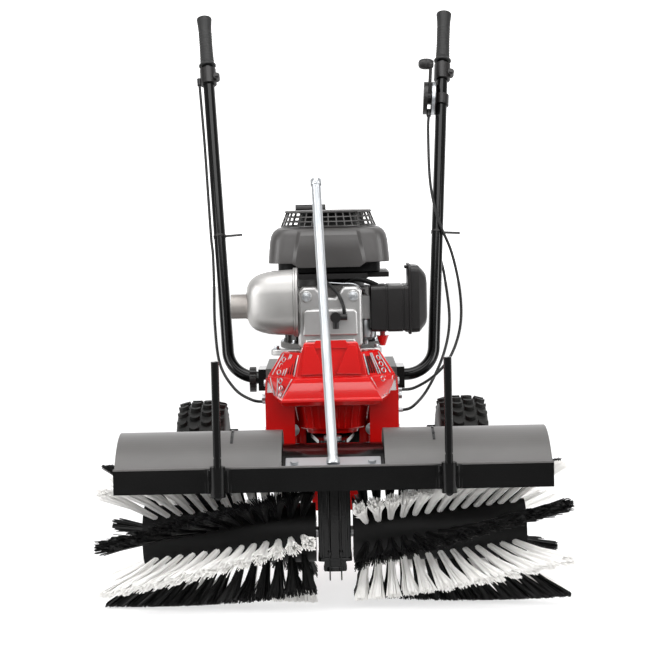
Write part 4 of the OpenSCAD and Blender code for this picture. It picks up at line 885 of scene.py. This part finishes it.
# %% Valve cover with its panel, ledge and bolts
back_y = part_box("valve_cover")[1].y
boss_xs, boss_z, boss_depth = (-0.044, 0.044), 0.558, 0.0345
lid_outline = [(-0.06, 0.466), (-0.051, 0.457), (0.051, 0.457), (0.06, 0.466), (0.06, 0.566), (0.051, 0.575),
               (0.026, 0.575), (0.011, 0.555), (-0.011, 0.555), (-0.026, 0.575), (-0.051, 0.575),
               (-0.06, 0.566)]
lid = slab(lid_outline, 0.03, 0.0045, 4)
rim = slab([(x * 1.02, z) for x, z in lid_outline], 0.008, 0.0015)
panel = slab([(-0.052, 0.484), (0.052, 0.484), (0.052, 0.528), (0.046, 0.534), (-0.046, 0.534),
              (-0.052, 0.528)], 0.0395, 0.0042, 4)
ledge = slab([(-0.05, 0.4635), (0.05, 0.4635), (0.046, 0.478), (-0.046, 0.478)], 0.0365, 0.003, 3)
boss_outline = [(0.0, 0.0), (0.0115, 0.0), (0.0105, 0.0335), (0.0095, boss_depth), (0.0, boss_depth)]
bosses = [moved(lathe(boss_outline, 32), at(x, boss_z, 0)) for x in boss_xs]
casting = joined([lid, rim, panel, ledge] + bosses)
put(casting, "valve_cover_casting", at(0, back_y, 0) @ along_front, cast_alloy, "chassis",
    ["valve_cover"])
bolts("valve_cover_bolts", 0.0058, 0.005, [(x, back_y - boss_depth, boss_z) for x in boss_xs], "chassis")

# %% [markdown]
# ## Air filter
# A black moulded box stands on the carburettor, and a taller lid with a flange and sloped edges
# closes it. Both are skins, so the sloped edges catch the light as they do on the real moulding.


# %% Box, lid and clips
def ring_in(node, x, deep, tall, corner):
    """A rounded outline across X, sized as shares of a node's depth and height."""
    low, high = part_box(node)
    y, z = (low.y + high.y) / 2, (low.z + high.z) / 2
    outline = rounded((high.y - low.y) * deep, (high.z - low.z) * tall, corner)
    return [(x, y + u, z + v) for u, v in outline]


box_from, box_to = (corner.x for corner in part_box("air_filter_box"))
box_run = [(box_from, 0.93), (box_from + 0.003, 0.985), (box_from + 0.03, 1.0), (box_from + 0.031, 0.975),
           (box_from + 0.034, 0.975), (box_from + 0.035, 1.0), (box_to - 0.012, 1.0),
           (box_to - 0.0115, 0.975), (box_to - 0.0085, 0.975), (box_to - 0.008, 1.0), (box_to, 1.0)]
filter_box = skin([ring_in("air_filter_box", x, share, share, 0.007) for x, share in box_run])
put(filter_box, "air_filter_moulding", in_place, black_cover, "chassis", ["air_filter_box"])
lid_low, lid_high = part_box("air_filter_cover")
lid_y, lid_z, lid_h = (lid_low.y + lid_high.y) / 2, (lid_low.z + lid_high.z) / 2, lid_high.z - lid_low.z
lid_run = [(0.0, 0.96, 1.0), (0.001, 1.0, 1.0), (0.0045, 1.0, 1.0), (0.0055, 0.93, 0.955),
           (0.012, 0.93, 0.955), (0.0205, 0.915, 0.94), (0.0315, 0.72, 0.76), (0.0345, 0.64, 0.68),
           (0.036, 0.55, 0.58)]
lid = skin([ring_in("air_filter_cover", lid_low.x + x, deep, tall, 0.012) for x, deep, tall in lid_run])
clip_outline = [(-0.006, -0.012), (0.01, -0.012), (0.013, 0.0), (0.01, 0.012), (-0.006, 0.012)]
clips = []
for top in (1, -1):
    clip_z = lid_z + top * (lid_h / 2 - 0.006) - 0.003
    clips.append(moved(slab(clip_outline, 0.006, 0.0012), at(lid_low.x, lid_y - 0.012, clip_z)))
put(joined([lid] + clips), "air_filter_lid", in_place, black_cover, "chassis",
    ["air_filter_cover"])

# %% [markdown]
# ## Fan shroud
# The dark grey shroud over the flywheel is one moulding with soft shoulders. A flat panel stands
# a little proud of its front between two creases and reaches lower than the skirt beside it. A
# dark housing shows below.

# %% Sections of the shroud
shroud_low, shroud_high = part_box("fan_shroud")
shroud_y = (shroud_low.y + shroud_high.y) / 2
shroud_rows = ((0.6175, 0.1168, 0.1225, 0.03, 0.0, 0.009), (0.6175, 0.1178, 0.1235, 0.03, 0.0012, 0.009),
               (0.621, 0.1178, 0.1235, 0.03, 0.0015, 0.006), (0.64, 0.1165, 0.12, 0.03, 0.0065, 0.0),
               (0.66, 0.1145, 0.116, 0.03, 0.009, 0.0), (0.671, 0.112, 0.1135, 0.031, 0.008, 0.0),
               (0.678, 0.108, 0.11, 0.031, 0.005, 0.0), (0.6825, 0.103, 0.106, 0.031, 0.002, 0.0),
               (0.6845, 0.096, 0.1, 0.03, 0.0, 0.0))


def shroud_section(z, half_w, half_d, corner, proud, dip):
    """A rectangle with round corners. The front panel stands proud and dips below the rest."""
    points = [(x, shroud_y + y, z) for x, y in rounded(2 * half_w, 2 * half_d, corner)]
    edge = 0.052 + 0.2 * (shroud_high.z - z)
    front = shroud_y - half_d
    for x, out, drop in ((-edge - 0.007, 0, 0), (-edge, 1, 0.5), (-edge + 0.006, 1, 1), (-0.02, 1.1, 1),
                         (0.02, 1.1, 1), (edge - 0.006, 1, 1), (edge, 1, 0.5), (edge + 0.007, 0, 0)):
        points.insert(len(points) - 7, (x, front - out * proud, z - drop * dip))
    return points


shroud = skin([shroud_section(*row) for row in shroud_rows])
round_edges(shroud, 0.0015, 2, 24)
inner = skin([[(x, shroud_y + y, z) for x, y in rounded(0.2 * size, 0.205 * size, 0.03)]
              for z, size in ((0.5962, 0.97), (0.5985, 1.0), (0.6245, 1.0))])
put(inner, "shroud_inner_housing", in_place, core_black, "chassis")
put(shroud, "shroud_moulding", in_place, shroud_grey, "chassis", ["fan_shroud"])

# %% [markdown]
# ## Red front cover
# A glossy moulded cover closes the front of the machine over the transmission. It has a rolled
# lower lip, a sloped panel, a narrower upper block and slanted shoulders. Six-cornered sections
# follow these forms, and a bevel rounds every edge so that it shines.

# %% Body of the cover
plate_front = machine.y - 0.25
side_share = 0.25
cover_levels = [(0.352, 0.1, 0.089, 0.067), (0.355, 0.103, 0.092, 0.078), (0.3625, 0.107, 0.0945, 0.0838),
                (0.3665, 0.109, 0.094, 0.0838), (0.3685, 0.11, 0.092, 0.079), (0.397, 0.1205, 0.074, 0.073),
                (0.405, 0.1215, 0.068, 0.069), (0.4075, 0.1205, 0.066, 0.062), (0.45, 0.0935, 0.058, 0.06),
                (0.4525, 0.089, 0.0565, 0.0595), (0.4528, 0.0585, 0.056, 0.0595),
                (0.47, 0.052, 0.0505, 0.0585), (0.4725, 0.049, 0.047, 0.056)]


def cover_section(z, half_w, front_half_w, depth):
    side, front = plate_front - side_share * depth, plate_front - depth
    return [(-half_w, plate_front, z), (-half_w, side, z), (-front_half_w, front, z),
            (front_half_w, front, z), (half_w, side, z), (half_w, plate_front, z)]


cover_body = skin([cover_section(*level) for level in cover_levels])
round_edges(cover_body, 0.0024, 3, 14)
put(cover_body, "red_cover_moulding", in_place, red_moulded, "chassis", ["front_cover"])


# %% Raised panels beside the channel, and the crown over it
def frame_from(x, y, z, place):
    """The matrix of a frame with these axes at a place."""
    return Matrix(((x.x, y.x, z.x, place.x), (x.y, y.y, z.y, place.y), (x.z, y.z, z.z, place.z),
                   (0, 0, 0, 1)))


def on_face(a, b, up):
    """A frame on a flat face: X from a to b, Y towards up, Z out of the face."""
    x = (b - a).normalized()
    z = x.cross(up - a).normalized()
    return frame_from(x, z.cross(x), z, a)


block_foot = Vector((0, plate_front - 0.062, 0.4075))
block_head = Vector((0, plate_front - 0.0585, 0.47))
block_face = on_face(block_foot, block_foot + Vector((0.01, 0, 0)), block_head)
panel_points = [(0.009, 0.005), (0.058, 0.003), (0.0485, 0.0595), (0.033, 0.0595)]
raised = [slab([(sign * x, y) for x, y in panel_points[::sign]], 0.0056, 0.0018) for sign in (-1, 1)]
raised.append(slab([(-0.036, 0.053), (0.036, 0.053), (0.028, 0.0685), (-0.028, 0.0685)], 0.0034, 0.0011))
raised.append(slab([(-0.009, 0.0035), (0.009, 0.0035), (0.005, 0.012), (-0.005, 0.012)], 0.0028, 0.0008))
put(joined(raised), "red_cover_panels", block_face, red_moulded, "chassis")

# %% [markdown]
# ## Slotted shoulders
# Each shoulder of the cover carries a bright frame with a row of round holes and a louvre of
# slanted slots, whose shade is painted as dark bars. They are laid on the shoulder's own faces, so
# they follow its slope.


# %% Places on a shoulder, and a bar between two of them
def shoulder_edge(level, sign, across):
    """A point on a level's slanted edge, across from front to side."""
    z, half_w, front_half_w, depth = level
    front = Vector((sign * front_half_w, plate_front - depth, z))
    return front.lerp(Vector((sign * half_w, plate_front - side_share * depth, z)), across)


def shoulder_point(lower, upper, sign, across, up):
    """A point on the shoulder between two levels: across from front to side, up from low to high."""
    return shoulder_edge(lower, sign, across).lerp(shoulder_edge(upper, sign, across), up)


def shoulder_frame(lower, upper, sign, across, up):
    here = shoulder_point(lower, upper, sign, across, up)
    side = shoulder_point(lower, upper, sign, across + sign * 0.1, up)
    above = shoulder_point(lower, upper, sign, across, up + 0.1)
    return on_face(here, side, above)


def bar_between(a, b, out, width, height):
    """A flat bar from a to b that stands out of a face."""
    run = (b - a)
    x, z = run.normalized(), out.normalized()
    y = z.cross(x).normalized()
    end, half = run.length, width / 2
    bar = slab([(0, -half), (end, -half), (end, half), (0, half)], height, height * 0.3)
    return moved(bar, frame_from(x, y, x.cross(y), a))


def shoulder_bar(face, sign, across, ends, facing, width, height):
    """A bar up a shoulder face, square to the face where it is facing."""
    out = shoulder_frame(*face, sign, facing, 0.5).to_3x3() @ Vector((0, 0, 1))
    return bar_between(*(shoulder_point(*face, sign, across, up) for up in ends), out, width, height)


# %% Frames, holes and louvres of both shoulders
low_face, high_face = (cover_levels[4], cover_levels[6]), (cover_levels[7], cover_levels[8])
frame_lines = ((low_face, (0.1, 0.62, 0.9)), (high_face, (0.08, 0.42, 0.5, 0.86)))
hole_places = ((low_face, 0.34, 0.14), (low_face, 0.42, 0.48), (low_face, 0.5, 0.84), (high_face, 0.66, 0.16),
               (high_face, 0.68, 0.44), (high_face, 0.7, 0.72))
ring_outline = [(0.0036, 0.0), (0.0056, 0.0), (0.0056, 0.0016), (0.0048, 0.0024), (0.0036, 0.0016)]
hole_outline = [(0.0, 0.0), (0.0038, 0.0), (0.0038, 0.0009), (0.0, 0.0009)]
frames, holes, slot_shades = [], [], []
for sign in (-1, 1):
    for face, lines in frame_lines:
        for across in lines:
            frames.append(shoulder_bar(face, sign, across, (0.03, 0.97), across, 0.0026, 0.0016))
    for i in range(3):
        # Dark bars on the upper face are painted shade in the louvre's slots.
        slot_shades.append(shoulder_bar(high_face, sign, 0.14 + 0.09 * i, (0.1, 0.86), 0.2, 0.0022, 0.0014))
    for face, across, up in hole_places:
        seat = shoulder_frame(*face, sign, across, up)
        frames.append(moved(lathe(ring_outline, 20), seat))
        holes.append(moved(lathe(hole_outline, 16), seat))
put(joined(frames), "shoulder_frames", in_place, bright_zinc, "chassis")
put(joined(holes), "shoulder_holes", in_place, red_enamel, "chassis")
put(joined(slot_shades), "shoulder_slot_shades", in_place, gloss_black, "chassis")

# %% [markdown]
# ## Nose of the transmission
# Below the cover the red casting of the transmission shows its upright ribs and the two bolts
# that hold its halves. The casting's nose is a half round that narrows downwards.

# %% Ribbed nose and its bolts
nose_back = machine.y - 0.18
nose_rows = ((0.046, 0.05, 0.2875), (0.05, 0.055, 0.2895), (0.052, 0.058, 0.2975), (0.063, 0.066, 0.2985),
             (0.066, 0.068, 0.301), (0.076, 0.076, 0.358))
rib_count, rib_step = 9, 0.014
boss_x, boss_z, boss_depth = 0.076, 0.2965, 0.052
forward = Vector((0, -1, 0))


def half_round(half_w, depth, z):
    points = [(half_w, nose_back, z)]
    for i in range(17):
        a = math.pi * i / 16
        x = half_w * math.copysign(abs(math.cos(a)) ** 0.6, math.cos(a))
        points.append((x, nose_back - depth * math.sin(a) ** 0.6, z))
    return points + [(-half_w, nose_back, z)]


nose = skin([half_round(*row) for row in nose_rows])
ribs = []
for i in range(rib_count):
    x = -0.056 + rib_step * i
    y = nose_back - 0.0715 * (1 - (abs(x) / 0.074) ** 4) ** 0.3
    foot, head = Vector((x * 0.86, y + 0.0055, 0.301)), Vector((x, y - 0.001, 0.356))
    ribs.append(bar_between(foot, head, forward, 0.0036, 0.0034))
boss_outline = [(0.0, 0.0), (0.0125, 0.0), (0.0115, boss_depth), (0.0, boss_depth)]
for sign in (-1, 1):
    foot = Vector((sign * 0.0665, nose_back - 0.032, 0.299))
    head = Vector((sign * 0.0765, nose_back - 0.04, 0.356))
    ribs.append(bar_between(foot, head, Vector((sign * 0.5, -1, 0)), 0.005, 0.005))
    ribs.append(moved(lathe(boss_outline, 28), at(sign * boss_x, nose_back, boss_z) @ along_front))
put(joined([nose] + ribs), "transmission_nose", in_place, red_enamel, "chassis")
boss_ends = [(sign * boss_x, nose_back - boss_depth, boss_z) for sign in (-1, 1)]
bolts("transmission_bolts", 0.0085, 0.0075, boss_ends, "chassis")

# %% [markdown]
# ## Hood seams, lip edge and stand clips
# Each hood shell is two sheets that meet in a dark seam beside the stand. The lip has a rolled top
# edge, and a folded clip holds each stand's sleeve to it.

# %% Seams over the hood
hood_radius, hood_rise = 0.163, 0.026


def hood_point(x, angle, lift):
    """A point on the hood's ellipse, or a little above it."""
    radius = hood_radius + lift
    return brush_axis + Vector((x, radius * math.cos(angle), (radius + hood_rise) * math.sin(angle)))


strip = ((-0.0024, -0.0005), (0.0024, -0.0005), (0.0024, 0.0011), (-0.0024, 0.0011))
seam_turns = [math.radians(30 + 4.1 * i) for i in range(21)]
seams = []
for x in (-0.182, 0.182):
    rings = [[hood_point(x + across, turn, lift) for across, lift in strip] for turn in seam_turns]
    seams.append(skin(rings))
    tab = hood_point(x, math.radians(80), 0.0002)
    side = Vector((0.008, 0, 0))
    seams.append(bar_between(tab - side, tab + side, Vector((0, 0.2, 1)), 0.012, 0.003))
put(joined(seams), "hood_seams", in_place, gloss_black, "head")

# %% Rolled edge and clips
lip_front = machine.y - 0.543
edge_half = [(0.0, -0.388), (0.0019, -0.388), (0.0022, -0.3875)]
edge = lathe(edge_half + [(r, -z) for r, z in reversed(edge_half)], 20)
# The rolled edge wears the lighter satin hood coat instead of the lip's gloss black. This is a painted
# highlight along the lip's top.
put(edge, "lip_edge_painted_highlight", at(0, lip_front + 0.0015, 0.273) @ along_x, satin_hood, "head")
wing = [(-0.0235, 0.0), (-0.0235, -0.0028), (-0.0175, -0.0032), (-0.0128, -0.0125), (-0.0128, 0.0)]
clips = []
for sign in (-1, 1):
    for flip in (-1, 1):
        clip = slab([(-flip * x, y) for x, y in wing[::flip]], 0.042, 0.0008)
        clips.append(moved(clip, at(sign * 0.203, lip_front, 0.23)))
put(joined(clips), "stand_clips", in_place, gloss_black, "head")

# %% [markdown]
# ## Swivel lever
# A plated tube on a bolted foot plate turns the brush head. The tube is spun round its own line,
# with a weld at its foot and a cap at its top. The plate lies on the slope of the lip's sheet.

# %% Tube, cap and foot plate
on_slope = at(0, brush_axis.y, brush_axis.z) @ Matrix.Rotation(math.radians(22), 4, "X")
lever_foot = on_slope @ Vector((0, -0.037, 0.1655))
lever_top = machine + Vector((-0.022, -0.276, 0.778))
lever_line = lever_top - lever_foot
top = lever_line.length
tube = lathe([(0.0, 0.0), (0.0125, 0.0), (0.012, 0.009), (0.0096, 0.0125), (0.009, 0.014),
              (0.009, top - 0.0125), (0.0102, top - 0.012), (0.0105, top - 0.011), (0.0105, top - 0.0015),
              (0.0095, top), (0.0, top)], 48)
moved(tube, at(*lever_foot) @ lever_line.to_track_quat("Z", "Y").to_matrix().to_4x4())
foot_plate = moved(slab(rounded(0.17, 0.042, 0.003, 3), 0.005, 0.0007), on_slope @ at(0, -0.037, 0.163))
put(joined([tube, foot_plate]), "swivel_lever_tube", in_place, bright_zinc, "head", ["swivel_lever"])

# %% [markdown]
# ## Column of the brush head
# The drive column is a casting with upright ribs, a flange at its foot and two long thin pins
# that hang out below it. Bars and an outline with round edges are laid on the plain casting.

# %% Ribs, flange and pins
column_front, column_y = machine.y - 0.45, machine.y - 0.412
front_ribs = ((0.0, 0.017, 0.0045, 0.088, 0.232), (-0.0215, 0.0045, 0.0035, 0.088, 0.27),
              (0.0215, 0.0045, 0.0035, 0.088, 0.27), (-0.0125, 0.003, 0.0025, 0.15, 0.27),
              (0.0135, 0.003, 0.0025, 0.17, 0.27))
trim = []
for x, width, proud, low, high in front_ribs:
    foot, head = (Vector((x, column_front + 0.0005, z)) for z in (low, high))
    trim.append(bar_between(foot, head, forward, width, proud))
for sign in (-1, 1):
    for y in (-0.03, 0.03):
        foot = Vector((sign * 0.0265, column_y + y, 0.09))
        trim.append(bar_between(foot, foot + Vector((0, 0, 0.16)), Vector((sign, 0, 0)), 0.004, 0.0032))
trim.append(moved(slab(rounded(0.062, 0.084, 0.008, 4), 0.0065, 0.001), at(0, column_y, 0.0845)))
trim.append(moved(slab(rounded(0.043, 0.043, 0.012, 4), 0.009, 0.0015), at(0, column_y, 0.0615)))
put(joined(trim), "column_ribs", in_place, gloss_black, "head")
pin_outline = [(0.0, 0.05), (0.0011, 0.0505), (0.0013, 0.053), (0.0013, 0.262), (0.0, 0.262)]
eye_outline = [(0.0014, -0.003), (0.0034, -0.003), (0.0034, 0.003), (0.0014, 0.003)]
pin_y = column_front - 0.0062
pins = []
for x in (-0.0098, 0.0112):
    pins.append(moved(lathe(pin_outline, 12), at(x, pin_y, 0)))
    pins += [moved(lathe(eye_outline, 16), at(x, pin_y, z)) for z in (0.1, 0.22)]
put(joined(pins), "column_pins", in_place, gloss_black, "head")

# %% [markdown]
# ## Small engine parts
# Between the large parts an engine shows brackets, links, a plug lead and pipes. A few of them,
# seated on the castings that carry them, fill the gaps that would look empty.

# %% Alloy lugs and the carburettor's bowl
lug_y, lug_z = machine.y - 0.235, 0.4435
lugs = []
for sign, reach in ((-1, 0.115), (1, 0.098)):
    lug = slab([(0.05, -0.02), (reach - 0.012, -0.014), (reach - 0.003, -0.009), (reach, 0.0),
                (reach - 0.003, 0.009), (reach - 0.012, 0.014), (0.05, 0.02)], 0.011, 0.0016)
    lugs.append(moved(lug, at(0, lug_y, lug_z) @ (mirror_x if sign < 0 else in_place)))
    foot = lathe([(0.0, 0.412), (0.009, 0.412), (0.0075, 0.4445), (0.0, 0.4445)], 24)
    lugs.append(moved(foot, at(sign * 0.07, machine.y - 0.185, 0)))
put(joined(lugs), "engine_lugs", in_place, cast_alloy, "chassis")
lug_tops = [(x, lug_y, lug_z + 0.011) for x in (-0.104, 0.088)]
bolts("engine_lug_bolts", 0.0055, 0.005, lug_tops, "chassis", in_place)
bowl = lathe([(0.0, 0.466), (0.011, 0.468), (0.0165, 0.474), (0.0175, 0.484), (0.0175, 0.506),
              (0.0165, 0.5085), (0.0, 0.5085)], 36)
drain = lathe([(0.0, 0.459), (0.0042, 0.459), (0.0042, 0.4665), (0.0, 0.4665)], 6)
bowl_at = at(0.068, machine.y - 0.216, 0)
put(joined([bowl, drain]), "carburettor_bowl", bowl_at, bright_zinc, "chassis")

# %% Joint of the crankcase, with its ribs and bolts
case_radius, joint_radius, joint_low, joint_high = 0.0855, 0.1005, 0.446, 0.457
case_ribs, joint_bolts, bolt_radius = 18, 9, 0.0935
case_at = at(crank_axis.x, crank_axis.y, 0)
case_trim = [lathe([(0.08, joint_low), (joint_radius - 0.001, joint_low), (joint_radius, joint_low + 0.001),
                    (joint_radius, joint_high - 0.001), (joint_radius - 0.001, joint_high),
                    (0.08, joint_high)], 72)]
for i in range(case_ribs):
    out = Vector((math.cos(math.tau * i / case_ribs), math.sin(math.tau * i / case_ribs), 0))
    for low, high in ((0.4125, joint_low), (joint_high, 0.561)):
        foot, head = case_radius * out, case_radius * out
        foot.z, head.z = low, high
        case_trim.append(bar_between(foot, head, out, 0.0045, 0.006))
put(joined(case_trim), "crankcase_ribs", case_at, block_alloy, "chassis")
joint_places = []
for i in range(joint_bolts):
    a = math.tau * (i + 0.5) / joint_bolts
    x, y = crank_axis.x + bolt_radius * math.cos(a), crank_axis.y + bolt_radius * math.sin(a)
    joint_places.append((x, y, joint_high))
bolts("crankcase_bolts", 0.0045, 0.005, joint_places, "chassis", in_place)


# %% Plug lead, throttle link and vent hose
def lead(name, points, radius, finish):
    """A bent wire, lead or hose through points of the machine."""
    path = smooth_route([Vector(p) + machine for p in points])
    put(sheathed(name, path, radius), name, in_place, finish, "chassis")


lead("plug_lead", ((0.027, -0.32, 0.526), (0.025, -0.319, 0.54), (0.018, -0.31, 0.558), (0.008, -0.29, 0.571),
                   (-0.002, -0.262, 0.579), (-0.01, -0.23, 0.585)), 0.0034, cable_sheath)
lead("governor_link", ((0.07, -0.24, 0.556), (0.05, -0.262, 0.577), (0.02, -0.262, 0.58),
                       (-0.02, -0.252, 0.583)), 0.0013, bright_zinc)
lead("breather_hose", ((0.03, -0.19, 0.575), (0.05, -0.2, 0.585), (0.074, -0.205, 0.58),
                       (0.092, -0.205, 0.572)), 0.005, core_black)

# %% [markdown]
# ## Bolts and cable ends
# The side plates are bolted to the transmission and the engine, and each cable ends in a plated
# ferrule on a plate.

# %% Side plate bolts and ferrules
outward = {-1: against_x, 1: along_x}
plate_places = ((-0.225, 0.285), (-0.225, 0.36), (-0.1, 0.28), (-0.1, 0.375), (0.02, 0.285), (0.055, 0.32))
for sign, side in ((-1, "left"), (1, "right")):
    places = [(sign * 0.128, machine.y + y, z) for y, z in plate_places]
    bolts(f"{side}_plate_bolts", 0.0075, 0.006, places, "chassis", outward[sign])
ferrule_outline = [(0.0032, 0.0), (0.0062, 0.0), (0.0062, 0.004), (0.0046, 0.005), (0.0046, 0.014),
                   (0.0032, 0.0145)]
ferrules = [moved(lathe(ferrule_outline, 20), at(sign * 0.1282, machine.y + y, z) @ outward[sign])
            for sign, y, z in ((-1, -0.02, 0.328), (1, -0.045, 0.35), (1, -0.075, 0.312))]
put(joined(ferrules), "cable_ferrules", in_place, bright_zinc, "chassis")

# %% [markdown]
# ## Size of the dressed model
# The box of the dressed model, with the new pieces, is printed.

# %% Print the size of the dressed model
low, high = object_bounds()
print("dressed:", [round(v, 3) for v in high - low], "m")
